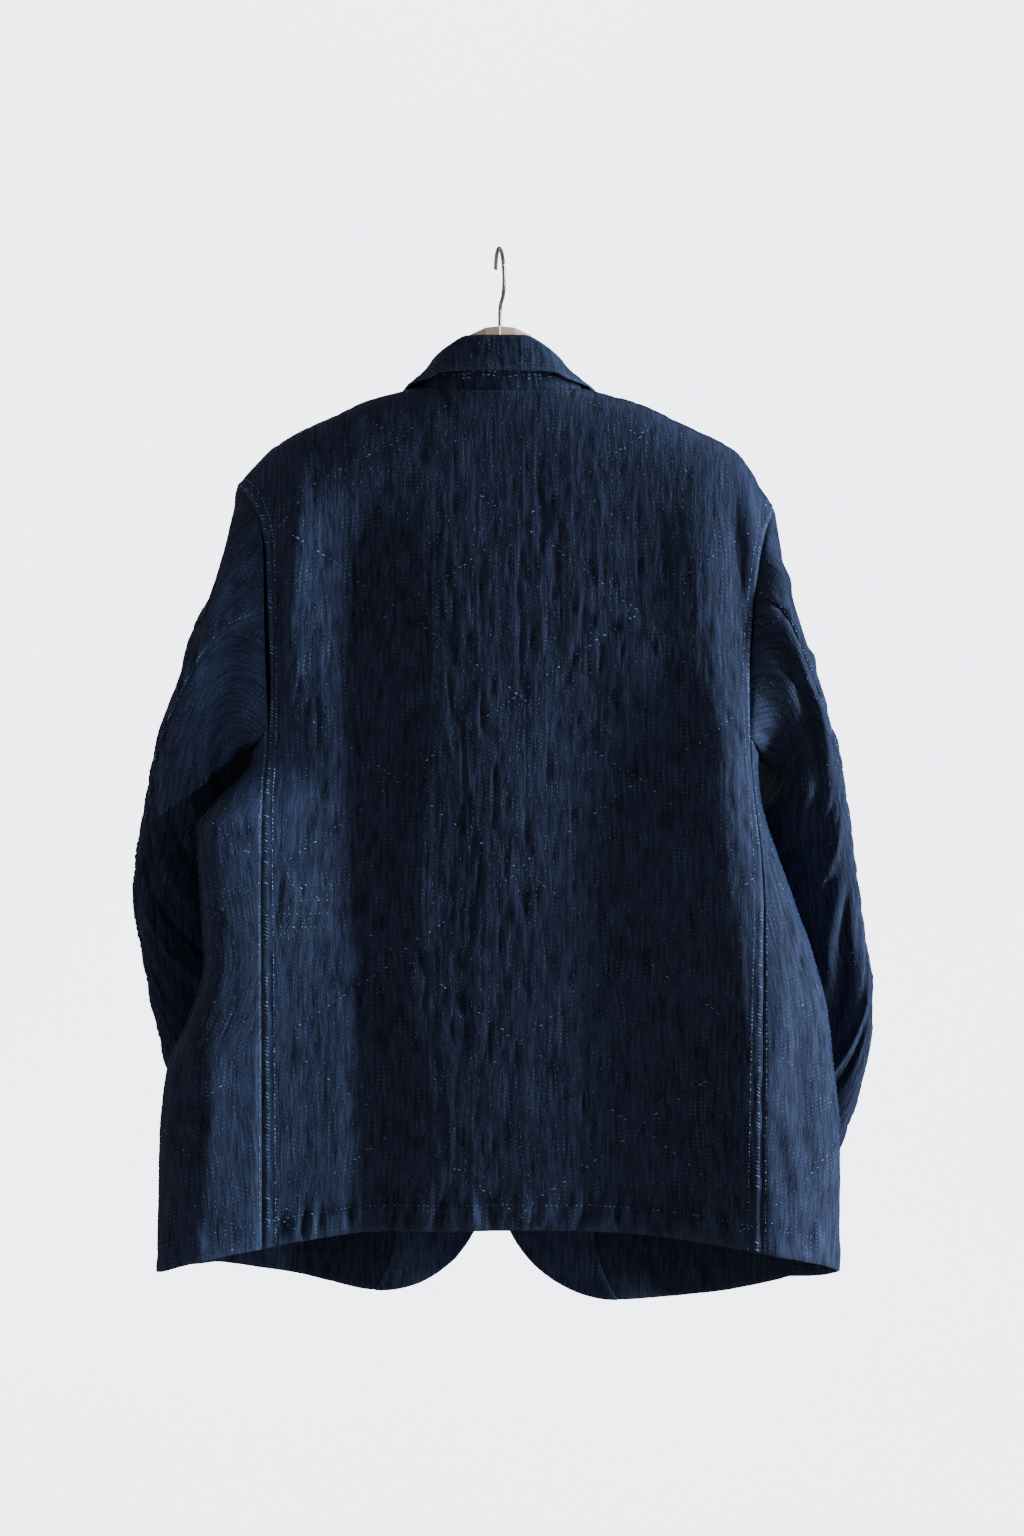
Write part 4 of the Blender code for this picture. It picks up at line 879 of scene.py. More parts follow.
SWELL = creases((-196, -430, -226, -960, 62, 5.6))   # over the right seam
BACK_CREASES = SWELL + creases(
    (-217, -196, -221, -246, 5, -3.0), (-207, -190, -212, -300, 7, 2.4),
    (-196, -210, -201, -330, 6, -2.0), (188, -190, 192, -420, 9, -5.0), (166, -178, 176, -400, 10, 3.0),
    (180, -520, 181, -566, 1.4, -1.3), (150, -300, 141, -470, 12, 1.6), (84, -300, 96, -520, 13, -2.0),
    (60, -420, 76, -700, 12, 1.8), (96, -600, 88, -800, 11, -2.2), (128, -560, 133, -790, 11, 1.8),
    (-130, -520, -150, -780, 11, -1.0))
SIDE_CREASES = {
    LEFT: creases(
        (205, -490, 240, -497, 3.2, -2.4), (215, -480, 252, -492, 6, 2.2),
        (234, -660, 240, -820, 9, 2.0), (262, -690, 266, -830, 9, -1.8)),
    RIGHT: creases(
        (-251, -585, -250, -618, 2.2, -2.4), (-228, -560, -234, -700, 8, 1.6),
        (-246, -640, -252, -780, 9, -2.0), (-226, -730, -238, -812, 6, -2.2),
        (-264, -690, -270, -840, 9, 1.8)),
}
FRONT_CREASES = {
    LEFT: creases(
        (60, -440, 52, -640, 12, 1.6), (120, -330, 134, -520, 12, -2.2), (160, -520, 168, -760, 13, 2.2),
        (100, -640, 92, -840, 11, -1.8), (200, -620, 214, -820, 11, -2.0)),
    RIGHT: creases(
        (-52, -460, -46, -660, 12, -1.5), (-112, -350, -124, -540, 12, 2.0),
        (-158, -540, -170, -770, 13, -2.3), (-96, -660, -88, -850, 11, 1.8),
        (-206, -600, -222, -800, 11, 2.0)),
}

# Creases of the sleeves run over places given as distance round (millimetres from the back seam,
# towards the top of the sleeve) and distance down from the armhole.
SLEEVE_CREASES = {
    ("top", LEFT): creases(
        (10, 30, 46, 8, 5, -2.6), (16, 58, 62, 24, 6, 3.0), (30, 84, 84, 40, 6, -2.8),
        (26, 120, 90, 92, 8, 2.6), (10, 150, 64, 132, 6, -2.2), (14, 320, 66, 306, 5, -4.0),
        (30, 340, 84, 352, 6, 3.6), (12, 356, 60, 372, 5, -3.2), (60, 180, 150, 230, 10, 2.8),
        (90, 250, 170, 300, 9, -2.8), (80, 400, 150, 430, 8, 2.4)),
    ("under", LEFT): creases(
        (30, 10, -110, 70, 20, -12.0), (-6, 40, -60, 62, 5, 2.2), (-8, 74, -56, 88, 5, -2.6),
        (-10, 110, -70, 118, 7, 2.8), (-14, 150, -80, 162, 6, -2.8), (-10, 196, -66, 184, 8, 3.0),
        (-8, 232, -72, 222, 4, -3.4), (-10, 270, -60, 252, 8, 3.0), (-30, 330, -90, 352, 7, -2.8),
        (-24, 380, -90, 372, 7, 2.4)),
    ("top", RIGHT): creases(
        (8, 26, 40, 60, 5, -1.4), (24, 14, 66, 62, 6, 1.4), (50, 16, 92, 74, 6, -1.4),
        (12, 90, 70, 130, 7, 2.6), (20, 150, 90, 196, 7, -2.4), (12, 240, 70, 286, 6, 3.0),
        (10, 268, 60, 312, 5, -3.2), (14, 300, 74, 340, 6, 3.0), (24, 360, 80, 400, 7, -2.4),
        (90, 200, 160, 260, 10, 2.6)),
    ("under", RIGHT): creases(
        (-36, 14, -44, 130, 13, -6.0), (-10, 70, -56, 34, 5, 2.6), (-14, 92, -70, 50, 5, -2.8),
        (-20, 118, -84, 76, 6, 2.8), (-24, 150, -90, 108, 6, -2.8), (-12, 180, -50, 168, 8, 2.4),
        (-34, 200, -62, 290, 9, 4.2), (-20, 220, -44, 300, 6, -3.4), (-10, 330, -56, 352, 5, 3.0),
        (-8, 352, -60, 384, 5, -3.0), (-20, 420, -80, 440, 7, 2.4)),
}

# The large diamonds sewn over the back and sides: one crossing, their height and their slope.
DIAMOND_X, DIAMOND_Z = -15.9, -236.3
DIAMOND_HEIGHT = 143.6
DIAMOND_SLOPE = 0.718

COLLAR_BAND = 15.0         # height of the wavy stitches on the collar's stand


def sew_along(cloth, lines, pitch=3.0, length=2.2, width=0.75, skip=0.1, across=False, **more):
    """Sews stitches where each of the fields passes its value, down the piece or across it."""
    for field, value in lines:
        for run in cloth.line_where(field.T if across else field, value):
            cloth.sew(*(run[::-1] if across else run), pitch=pitch, length=length, width=width,
                      skip=skip, **more)


def sew_edge(cloth, distance, place, **more):
    """Stitches across the piece, at a distance from an edge."""
    sew_along(cloth, [(distance, place)], across=True, **{"width": 0.8, **more})


def sew_hem(cloth, seed, tone, place=HEM_TURN + 0.3):
    sew_edge(cloth, cloth.bottom, place, pitch=4.2, length=2.8, seed=seed, tone=tone)


def sew_rows(cloth, rows, keep, pitch, seed, length=1.8, width=0.7, skip=0.16, tone=0.45):
    """Sews the rows of quilting: a line of stitches wherever the row count passes a whole number."""
    sparse = ruffle(cloth.across / 23, cloth.top / 37, seed) > -0.5
    for k in range(int(np.floor(rows.min())), int(np.ceil(rows.max())) + 1):
        sew_along(cloth, [(rows, k)], pitch, length, width, skip, keep=keep * sparse,
                  seed=seed * 1000 + k + 500, jitter=0.4, tone=tone, sway=0.5)


def sew_diamonds(cloth, x, keep, seed):
    """Sews the long slanting lines of bolder stitches."""
    for slope in (DIAMOND_SLOPE, -DIAMOND_SLOPE):
        field = cloth.z - slope * x + 2.6 * ruffle(x / 34, cloth.z / 34, seed)
        for k in range(-3, 8):
            line = field, DIAMOND_Z - slope * DIAMOND_X - k * DIAMOND_HEIGHT
            sew_along(cloth, [line], 6.4, 3.4, 0.8, 0.22, keep=keep, seed=seed * 1000 + k + 50,
                      jitter=0.34, tone=0.9, turn=0.25 * np.sign(slope), sway=0.6)


def diamond_groove(x, z):
    """Shallow groove along the diamonds' lines."""
    total = np.zeros_like(x)
    for slope in (DIAMOND_SLOPE, -DIAMOND_SLOPE):
        offset = (z - slope * x) - (DIAMOND_Z - slope * DIAMOND_X)
        nearest = (offset + DIAMOND_HEIGHT / 2) % DIAMOND_HEIGHT - DIAMOND_HEIGHT / 2
        total += ridge(nearest * 0.81, 2.2)
    return -0.4 * total


def sew_strip(cloth, distance, seed):
    """Stitches of a felled seam: a line on each side of the strip, and slanting ones over it."""
    patchy = (ruffle(cloth.top / 26, 0, seed) > -0.35).astype(float)
    sew_along(cloth, [(distance, STRIP + 3.4)], 3.2, 2.4, 0.85, 0.15, seed=seed, tone=1.0)
    sew_along(cloth, [(distance, STRIP * 0.55)], 2.9, 4.4, 0.7, 0.12, height=0.4, seed=seed + 1,
              tone=0.85, turn=1.15, jitter=0.1, keep=patchy)


def finish_cloth(cloth, finish):
    made = cloth.build()
    made.data.materials.append(finish)
    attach(made, "root")
    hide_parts(cloth.name.replace("_cloth", ""))
    if cloth.stitches:
        thread = stitches_object(cloth.name.replace("_cloth", "_stitches"), cloth.stitches)
        thread.data.materials.append(MATERIALS["thread"])
        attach(thread, "root")
    width, length, area = cloth.flat_size()


def make_back(finish):
    cloth = Cloth("back_cloth", back_grid(1.9, 5.5), (0, 1, 0))
    x = cloth.across = cloth.x
    relief, rows = quilting(x, cloth.top, 11)
    relief = relief * (0.55 + 0.5 * smooth_step(cloth.top, 30, 170))
    left, quiet_left = strip(cloth.left, cloth.top, 1)
    right, quiet_right = strip(cloth.right, cloth.top, 2)
    turn, quiet_hem = hem(cloth.bottom, x, 3, cloth.ends())
    relief = (relief * quiet_hem + diamond_groove(x, cloth.z)) * quiet_left * quiet_right
    relief += left + right + turn
    relief += seam_dip(cloth.left) + seam_dip(cloth.right) + seam_dip(cloth.top, 1.2, 2.4)
    darned = smooth_step(x, 134, 141) * smooth_step(x, 184, 178) * smooth_step(cloth.z, -584, -578) \
        * smooth_step(cloth.z, -524, -530)
    relief += 0.25 * darned * ruffle(x / 3.0, cloth.z / 3.0, 9)
    cloth.wear(left=(0.8, 3, 1), right=(0.8, 3, 1), bottom=(1, 4), top=(0.5, 3))
    cloth.worn += 0.5 * darned
    cloth.finish_face(crease_height(BACK_CREASES, x, cloth.z), relief)
    keep = cloth.inside(left=STRIP + 4, right=STRIP + 4, bottom=3, top=5)
    sew_rows(cloth, rows, keep, 7.2, 12)
    sew_diamonds(cloth, x, keep * (ruffle(x / 31, cloth.z / 43, 10) > -0.4), 13)
    sew_strip(cloth, cloth.left, 14)
    sew_strip(cloth, cloth.right, 15)
    sew_hem(cloth, 16, 0.75)
    sew_edge(cloth, cloth.top, 3.0, seed=17, tone=0.35, keep=(np.abs(x) < NECK_X).astype(float))
    sew_rows(cloth, rows * 2 + 0.5, darned, 4.4, 18, length=2.4, skip=0.25, tone=0.62)
    for level in (-536, -549, -560, -571):
        sew_edge(cloth, cloth.z, level, seed=19 + level, pitch=3.6, length=2.6, tone=0.7, skip=0.35,
                 keep=darned)
    finish_cloth(cloth, finish)


def make_side_body(side, finish):
    name = SIDE_NAMES[side]
    cloth = Cloth(f"side_body_{name}_cloth", side_body_grid(side, 1.9, 5.5), (side, 0, 0))
    across = side * (seam_x(side, BACK, cloth.z) + cloth.left)
    relief, rows = quilting(across, cloth.top, 21 + side)
    turn, quiet_hem = hem(cloth.bottom, cloth.left, 4, cloth.ends())
    relief = (relief * quiet_hem + diamond_groove(across, cloth.z)) \
        * cloth.fade(left=(1.5, 7), right=(1.5, 7)) + turn
    relief += seam_dip(cloth.left, 0.5, 1.2) + seam_dip(cloth.right) + seam_dip(cloth.top)
    folds = crease_height(SIDE_CREASES[side], cloth.x, cloth.z)
    folds *= cloth.fade(left=(0, 10), right=(0, 12), top=(0, 12))
    folds += crease_height(SWELL, across, cloth.z)
    cloth.wear(left=(0.6, 3), right=(0.6, 3), bottom=(1, 4))
    cloth.finish_face(folds, relief)
    keep = cloth.inside(left=4, right=4, bottom=3, top=4)
    sew_rows(cloth, rows, keep, 5.9, 22 + side)
    sew_diamonds(cloth, across, keep, 25 + side)
    sew_along(cloth, [(cloth.left, 1.9), (cloth.right, 2.2)], 3.2, 2.4, 0.85, 0.15, seed=27 + side,
              tone=0.75)
    sew_hem(cloth, 28 + side, 0.55)
    finish_cloth(cloth, finish)


def make_front(side, finish):
    name = SIDE_NAMES[side]
    cloth = Cloth(f"front_{name}_cloth", front_grid(side, 2.1, 6.0), (0, -1, 0))
    x = cloth.across = cloth.x
    relief, rows = quilting(x, cloth.top, 31 + side)
    turn, quiet_hem = hem(cloth.bottom, x, 5, cloth.ends())
    by_lapel = smooth_step(cloth.z, BREAK_Z - 20, BREAK_Z + 10) * smooth_step(cloth.right, 90, 60)
    quiet = cloth.fade(left=(1.5, 6), top=(1, 5)) * (1 - 0.55 * by_lapel)
    relief = relief * quiet_hem * quiet * (0.5 + 0.5 * cloth.fade(right=(1, 6))) + turn
    relief += seam_dip(cloth.left) + seam_dip(cloth.top) - 0.5 * ridge(cloth.right - 6.5, 1.1)
    folds = crease_height(FRONT_CREASES[side], x, cloth.z)
    folds *= cloth.fade(left=(0, 12), right=(2, 30), top=(0, 12))
    cloth.wear(left=(0.6, 3), bottom=(1, 4), right=(0.9, 4))
    cloth.finish_face(folds, relief)
    sew_rows(cloth, rows, cloth.inside(left=4, right=8, bottom=3, top=5), 7.0, 32 + side)
    sew_along(cloth, [(cloth.left, 2.0), (cloth.right, 6.5)], seed=34 + side, tone=0.5)
    sew_hem(cloth, 36 + side, 0.55)
    finish_cloth(cloth, finish)


def make_facing(side, finish):
    name = SIDE_NAMES[side]
    grid = front_grid(side, 2.4, 6.0, start=1 - FACING_SHARE)[2:]
    cloth = Cloth(f"facing_{name}_cloth", grid, (0, -1, 0), thickness=1.6, lift=-CLOTH - LAYER_GAP - 0.2,
                  echo=2.4)
    x = cloth.across = cloth.x
    folds = crease_height(FRONT_CREASES[side], x, cloth.z) * cloth.fade(right=(2, 30), top=(0, 12))
    cloth.wear(left=(0.5, 3))
    cloth.finish_face(folds, quilting(x, cloth.top, 41 + side, strength=0.3)[0])
    finish_cloth(cloth, finish)


def make_lapel(side, finish):
    name = SIDE_NAMES[side]
    cloth = Cloth(f"lapel_{name}_cloth", lapel_grid(side, 1.9, 5.0), (0, -1, 0), lift=LAPEL_LIFT + 0.3)
    relief, rows = quilting(cloth.x, cloth.top, 51 + side, strength=0.7)
    relief = relief * cloth.fade(right=(1, 6), top=(1, 6)) - 0.45 * ridge(cloth.right - 6.0, 1.1)
    cloth.wear(right=(1, 4), left=(0.8, 5), top=(0.6, 3))
    cloth.finish_face(1.2 * ridge(cloth.left, 12), relief)
    sew_rows(cloth, rows, cloth.inside(left=3, right=8, bottom=4, top=8), 7.0, 52 + side)
    sew_along(cloth, [(cloth.right, 6.0)], seed=54 + side, tone=0.5)
    finish_cloth(cloth, finish)


def make_collar(finish):
    cloth = Cloth("collar_cloth", collar_grid(2.0, 2.6), (0, 0, 1), lift=CLOTH / 2, echo=1.0)
    relief, rows = quilting(cloth.across, cloth.top * 2, 61, strength=0.9)
    fold = smooth_step(np.abs(cloth.top - cloth.top[-1:] * 0.55), 4, 10)
    relief = relief * fold * cloth.fade(bottom=(1, 6), top=(1, 6))
    wavy = cloth.top - COLLAR_BAND - 2.6 * ruffle(cloth.across / 6.5, 0, 65)
    for distance in (cloth.bottom, cloth.left, cloth.right):
        relief -= 0.4 * ridge(distance - 5.5, 1.1)
    relief -= 0.5 * ridge(wavy, 1.4)
    cloth.wear(bottom=(0.9, 4), left=(0.6, 3), right=(0.6, 3))
    cloth.worn += 0.8 * (1 - fold)
    cloth.finish_face(np.zeros_like(relief), relief)
    sew_rows(cloth, rows, cloth.inside(bottom=4, left=7, right=7) * (fold > 0.5), 5.6, 62)
    sew_edge(cloth, cloth.bottom, 5.5, seed=63, tone=0.25, skip=0.3)
    for level, seed in ((0, 66), (3.4, 67)):
        sew_edge(cloth, wavy, level, seed=seed, pitch=4.4, length=3.4, tone=1.3, skip=0.2, behind=True)
    sew_along(cloth, [(cloth.left, 5.5), (cloth.right, 5.5)], seed=64, tone=0.45)
    finish_cloth(cloth, finish)


def make_sleeve_piece(side, part, finish):
    name, top, seam = SIDE_NAMES[side], part == "top", SLEEVE_BACK_SEAM[side]
    first, last = (SLEEVE_FRONT_SEAM, 360 + seam) if top else (seam, SLEEVE_FRONT_SEAM)
    cloth = Cloth(f"{part}_sleeve_{name}_cloth", sleeve_grid(side, first, last, 2.1, 3.5),
                  (side, 0, 0) if top else (0, 1, 0))
    from_seam, to_front = (cloth.right, cloth.left) if top else (cloth.left, cloth.right)
    round_sleeve = from_seam if top else -from_seam
    relief, rows = quilting(round_sleeve, cloth.top, 71 + side + 4 * top, 1.5 if top else 0.9)
    quiet = smooth_step(from_seam, 2, 9) * smooth_step(to_front, 1.5, 7) * cloth.fade(top=(1.5, 7))
    turn, quiet_hem = hem(cloth.bottom + 3, round_sleeve, 6, cloth.ends())
    relief = relief * quiet * quiet_hem + turn * 0.8
    nips = 2.1 * ruffle(cloth.top / 5.2, from_seam / 30, 8 + side)
    nips += 0.6 * ruffle(cloth.top / 12, from_seam / 40, 9)
    relief += nips * ridge(from_seam - 7, 9) * cloth.fade(top=(4, 20))
    relief += seam_dip(from_seam, 1.4) + seam_dip(to_front) + seam_dip(cloth.top, 1.2)
    folds = 1.4 * crease_height(SLEEVE_CREASES[part, side], round_sleeve, cloth.top)
    folds *= smooth_step(from_seam, 0, 10) * smooth_step(to_front, 0, 14) * cloth.fade(top=(0, 14))
    cloth.wear(bottom=(1, 4), top=(0.4, 3))
    cloth.worn += 0.7 * ridge(from_seam, 3) + 0.4 * ridge(to_front, 3)
    cloth.finish_face(folds, relief)
    keep = cloth.inside(bottom=3, top=5) * (from_seam > 5) * (to_front > 4)
    sew_rows(cloth, rows, keep, 6.8, 75 + side + 4 * top)
    if top:
        sew_along(cloth, [(from_seam, 2.4)], length=2.3, width=0.85, seed=85 + side, tone=1.1)
    sew_hem(cloth, 87 + side, 0.5, HEM_TURN - 2.7)
    finish_cloth(cloth, finish)


# ------------------------ finishes

MATERIALS = {}


class Nodes:
    """Short way to lay out a node tree: each node is made with its settings and its inputs."""

    def __init__(self, tree):
        self.tree = tree

    def feed(self, node, inputs):
        """Sets a node's inputs. A value that is a socket is linked."""
        for key, value in inputs.items():
            if isinstance(value, bpy.types.NodeSocket):
                self.tree.links.new(value, node.inputs[key])
            else:
                node.inputs[key].default_value = value

    def add(self, kind, inputs=None, **settings):
        node = self.tree.nodes.new(kind if kind.startswith("Node") else "ShaderNode" + kind)
        for key, value in settings.items():
            setattr(node, key, value)
        self.feed(node, inputs or {})
        return node

    def place(self):
        return self.add("TexCoord").outputs["Object"]

    def attribute(self, name):
        return self.add("Attribute", attribute_name=name).outputs["Fac"]

    def math(self, operation, a, b=0.0, clamp=False):
        return self.add("Math", {0: a, 1: b}, operation=operation, use_clamp=clamp).outputs[0]

    def total(self, *parts):
        """The sum of values, each times its weight."""
        first, *others = (self.math("MULTIPLY", *part) for part in parts)
        for other in others:
            first = self.math("ADD", first, other)
        return first

    def noise(self, vector, scale, detail=2.0, roughness=0.5):
        """Noise at one scale, or at a scale for each axis."""
        if isinstance(scale, tuple):
            vector, scale = self.add("Mapping", {"Vector": vector, "Scale": scale}).outputs[0], 1.0
        return self.add("TexNoise", {"Vector": vector, "Scale": scale, "Detail": detail,
                                     "Roughness": roughness}).outputs["Fac"]

    def range(self, value, low, high, to_low=0.0, to_high=1.0):
        return self.add("MapRange", {"Value": value, "From Min": low, "From Max": high,
                                     "To Min": to_low, "To Max": to_high}).outputs[0]

    def blend(self, share, a, b, mode="MIX"):
        return self.add("Mix", {0: share, 6: a, 7: b}, data_type="RGBA", blend_type=mode).outputs[2]

    def bump(self, strength, distance, height, **more):
        return self.add("Bump", {"Strength": strength, "Distance": distance, "Height": height,
                                 **more}).outputs[0]

    def shared(self, name, maker, vector):
        """Outputs of a node group at a vector in metres. The group is made when it is first wanted."""
        tree = bpy.data.node_groups.get(name) or maker(name)
        return self.add("Group", {"Vector": vector}, node_tree=tree).outputs


def solid(colour, factor=1.0):
    return (*(factor * c for c in colour), 1)


def group(name, outputs, **numbers):
    """A node group with a vector and numbers going in, as (nodes, its vector, its inputs, its end)."""
    tree = bpy.data.node_groups.new(name, "ShaderNodeTree")
    tree.interface.new_socket(name="Vector", in_out="INPUT", socket_type="NodeSocketVector")
    for key, value in numbers.items():
        number = tree.interface.new_socket(name=key, in_out="INPUT", socket_type="NodeSocketFloat")
        number.default_value = value
    for key in outputs:
        tree.interface.new_socket(name=key, in_out="OUTPUT", socket_type="NodeSocketFloat")
    n = Nodes(tree)
    given = n.add("NodeGroupInput").outputs
    return n, given["Vector"], given, n.add("NodeGroupOutput")


def weave_group(name):
    """Plain weave with slubs, and the small stitches of its rows."""
    n, vector, given, result = group(name, ("Shade", "Height", "Stitch"), Threads=1400.0)
    x, y, _ = n.add("SeparateXYZ", {0: vector}).outputs
    turns = n.math("MULTIPLY", given["Threads"], pi)
    crossing = n.math("MULTIPLY", *(n.math("SINE", n.math("MULTIPLY", way, turns)) for way in (x, y)))
    slub, weft_slub = n.noise(vector, (900.0, 45.0, 1.0), 3.0, 0.6), n.noise(vector, (60.0, 800.0, 1.0))
    shade = n.total((slub, 0.75), (weft_slub, 0.25))
    row = n.total((x, 215.0), (n.noise(vector, 14.0), 3.0))
    step = n.total((y, 290.0), (n.math("FLOOR", row), 0.37))
    dash = n.math("MULTIPLY", n.math("LESS_THAN", n.math("FRACT", row), 0.24),
                  n.math("LESS_THAN", n.math("FRACT", step), 0.45))
    patchy = n.range(n.noise(vector, 45.0, 3.0, 0.7), 0.46, 0.7)
    n.feed(result, {"Shade": shade, "Height": n.total((crossing, 0.35), (shade, 1.0)),
                    "Stitch": n.math("MULTIPLY", dash, patchy)})
    return n.tree


def fading_group(name):
    """Uneven washing-out: broad patches, fine mottling and streaks."""
    n, vector, _, result = group(name, ("Fade",))
    total = n.total((n.noise(vector, 9.0, 3.0, 0.55), 0.4), (n.noise(vector, 95.0, 4.0, 0.65), 0.25),
                    (n.noise(vector, (150.0, 12.0, 1.0), 3.0, 0.6), 0.35))
    n.feed(result, {"Fade": n.range(total, 0.32, 0.68)})
    return n.tree


def crinkle_group(name):
    """Fine lengthways crinkles of washed cloth: their height."""
    n, vector, _, result = group(name, ("Height",))
    fine = n.noise(vector, (430.0, 62.0, 1.0), 3.0, 0.6)
    coarse = n.noise(vector, (210.0, 38.0, 1.0))
    grain = n.noise(vector, 560.0, 2.0, 0.6)
    n.feed(result, {"Height": n.total((fine, 0.5), (coarse, 0.5), (grain, 0.22))})
    return n.tree


def new_material(name, shader_kind="BsdfPrincipled"):
    """Starts a material, and gives its nodes and its shader."""
    made = MATERIALS[name] = bpy.data.materials.new(name)
    made.use_nodes = True
    made.node_tree.nodes.clear()
    n = Nodes(made.node_tree)
    shader = n.add(shader_kind)
    n.add("OutputMaterial", {0: shader.outputs[0]})
    return n, shader


def cloth_material(name, deep, lit, worn, strength):
    """Indigo cloth: painted shade makes it darker between the ridges and in the crinkles' hollows, a
    painted highlight makes it lighter on the ridges, and it is lighter where it's worn.
    """
    n, shader = new_material(name)
    place = n.add("UVMap", uv_map="Cloth").outputs[0]
    weave = n.shared("Plain weave with slubs", weave_group, place)
    fade = n.shared("Washed-out dye", fading_group, place)["Fade"]
    crinkle = n.shared("Fine crinkles", crinkle_group, place)["Height"]
    # Painted shade and highlight: the relief height darkens the colour in the quilting's hollows and
    # lightens it on the ridges.
    crest = n.range(n.attribute("relief"), -0.9, 1.1)
    # The share mixes that painted light with the cloth's own washed-out patches and slubs, and with
    # painted shade in the crinkles' hollows and a painted highlight on their crests.
    share = n.total((crest, 0.45), (fade, 0.3), (weave["Shade"], 0.4),
                    (n.range(crinkle, 0.44, 0.78, -0.42, 0.42), 1.0))
    share = n.math("SUBTRACT", share, 0.12, clamp=True)
    rubbed = n.math("MULTIPLY", n.attribute("worn"), n.range(fade, 0.2, 0.9), clamp=True)
    colour = n.blend(share, solid(deep), solid(lit))
    colour = n.blend(n.math("MULTIPLY", rubbed, 0.6), colour, solid(worn))
    colour = n.blend(n.math("MULTIPLY", weave["Stitch"], 0.65), colour, solid(worn, 1.6))
    facing = n.add("LayerWeight", {"Blend": 0.5}).outputs["Facing"]
    creased = n.bump(1.0, 0.0014, crinkle)
    n.feed(shader, {"Base Color": colour, "Roughness": n.range(share, 0.0, 1.0, 0.95, 0.78),
                    "Normal": n.bump(strength, 0.0004, weave["Height"], Normal=creased),
                    "Specular IOR Level": n.range(facing, 0.45, 0.85, 0.14, 0.02),
                    "Sheen Weight": n.range(facing, 0.45, 0.85, 0.08, 0.0),
                    "Sheen Roughness": 0.5, "Sheen Tint": (0.5, 0.62, 0.9, 1)})


def thread_material(dark, light):
    n, shader = new_material("thread")
    twist = n.noise(n.place(), 2600.0)
    share = n.math("MULTIPLY", n.math("POWER", n.attribute("tone"), 1.6),
                   n.range(twist, 0.3, 0.7, 0.75, 1.1), clamp=True)
    n.feed(shader, {"Base Color": n.blend(share, solid(dark), solid(light)),
                    "Roughness": n.range(twist, 0.3, 0.7, 0.6, 0.85),
                    "Normal": n.bump(0.3, 0.0002, twist), "Specular IOR Level": 0.3})


def wood_material(name, pale, grain):
    """Pale wood with its grain along the arms."""
    n, shader = new_material(name)
    place = n.place()
    warp, lines = n.noise(place, (9.0, 60.0, 60.0), 3.0), n.noise(place, (14.0, 420.0, 420.0), 5.0, 0.65)
    pores = n.noise(place, (90.0, 1500.0, 1500.0))
    share = n.total((n.range(lines, 0.35, 0.7), 0.6), (n.range(warp, 0.3, 0.7), 0.35))
    colour = n.blend(share, solid(pale), solid(grain))
    colour = n.blend(n.range(pores, 0.62, 0.75, 0.0, 0.35), colour, solid(grain, 0.6))
    n.feed(shader, {"Base Color": colour, "Roughness": n.range(lines, 0.3, 0.7, 0.42, 0.6),
                    "Normal": n.bump(0.25, 0.0003, lines), "Coat Weight": 0.12, "Coat Roughness": 0.3})


def steel_material(colour):
    n, shader = new_material("hook_steel")
    place = n.place()
    smudge = n.noise(place, 140.0, 3.0)
    scratches = n.noise(place, (2500.0, 2500.0, 160.0))
    dull = n.blend(n.range(smudge, 0.45, 0.75, 0.0, 0.5), solid(colour), solid(colour, 0.55))
    rough = n.total((n.range(smudge, 0.3, 0.7, 0.18, 0.34), 1.0), (scratches, 0.1))
    n.feed(shader, {"Base Color": dull, "Metallic": 1.0, "Roughness": rough,
                    "Normal": n.bump(0.15, 0.0001, scratches)})


def horn_material(dark, pale):
    n, shader = new_material("dark_horn")
    place = n.place()
    clouds = n.noise(place, (160.0, 160.0, 60.0), 4.0, 0.6)
    n.feed(shader, {"Base Color": n.blend(n.range(clouds, 0.5, 0.75), solid(dark), solid(pale)),
                    "Roughness": n.range(clouds, 0.3, 0.7, 0.22, 0.4),
                    "Normal": n.bump(0.1, 0.0001, n.noise(place, 1800.0))})


def studio_material(brightness, bounce):
    """Pale wall and floor: the camera sees them evenly lit, and they throw only a little light back."""
    n, shader = new_material("studio_wall", "MixShader")
    cloudy = n.range(n.noise(n.place(), 0.35), 0.3, 0.7, 0.96, 1.02)
    grey = n.add("CombineColor", {0: cloudy, 1: cloudy, 2: cloudy}).outputs[0]
    tint = n.blend(1.0, (0.86, 0.865, 1.02, 1), grey, mode="MULTIPLY")
    seen = n.add("Emission", {"Color": tint, "Strength": brightness})
    thrown = n.add("Emission", {"Color": (1.0, 0.76, 0.62, 1), "Strength": bounce})
    n.feed(shader, {0: n.add("LightPath").outputs["Is Camera Ray"], 1: thrown.outputs[0],
                    2: seen.outputs[0]})


# ------------------------ buttons and stage

def select_only(made):
    bpy.ops.object.select_all(action="DESELECT")
    made.select_set(True)
    bpy.context.view_layer.objects.active = made


def add_cylinder(name, radius, depth, place=(0, 0, 0), vertices=32):
    bpy.ops.mesh.primitive_cylinder_add(vertices=vertices, radius=radius, depth=depth, location=place)
    made = bpy.context.active_object
    made.name = made.data.name = name
    return made


def apply_modifier(made, name, kind, **settings):
    """Gives a piece a modifier and applies it."""
    select_only(made)
    modifier = made.modifiers.new(name, kind)
    for key, value in settings.items():
        setattr(modifier, key, value)
    bpy.ops.object.modifier_apply(modifier=name)


def select_faces(made, wanted):
    """Selects the faces for which wanted(face) holds, and leaves the piece in edit mode."""
    select_only(made)
    bpy.ops.object.mode_set(mode="EDIT")
    bpy.ops.mesh.select_mode(type="FACE")
    bpy.ops.mesh.select_all(action="DESELECT")
    bpy.ops.object.mode_set(mode="OBJECT")
    for face in made.data.polygons:
        face.select = wanted(face)
    bpy.ops.object.mode_set(mode="EDIT")


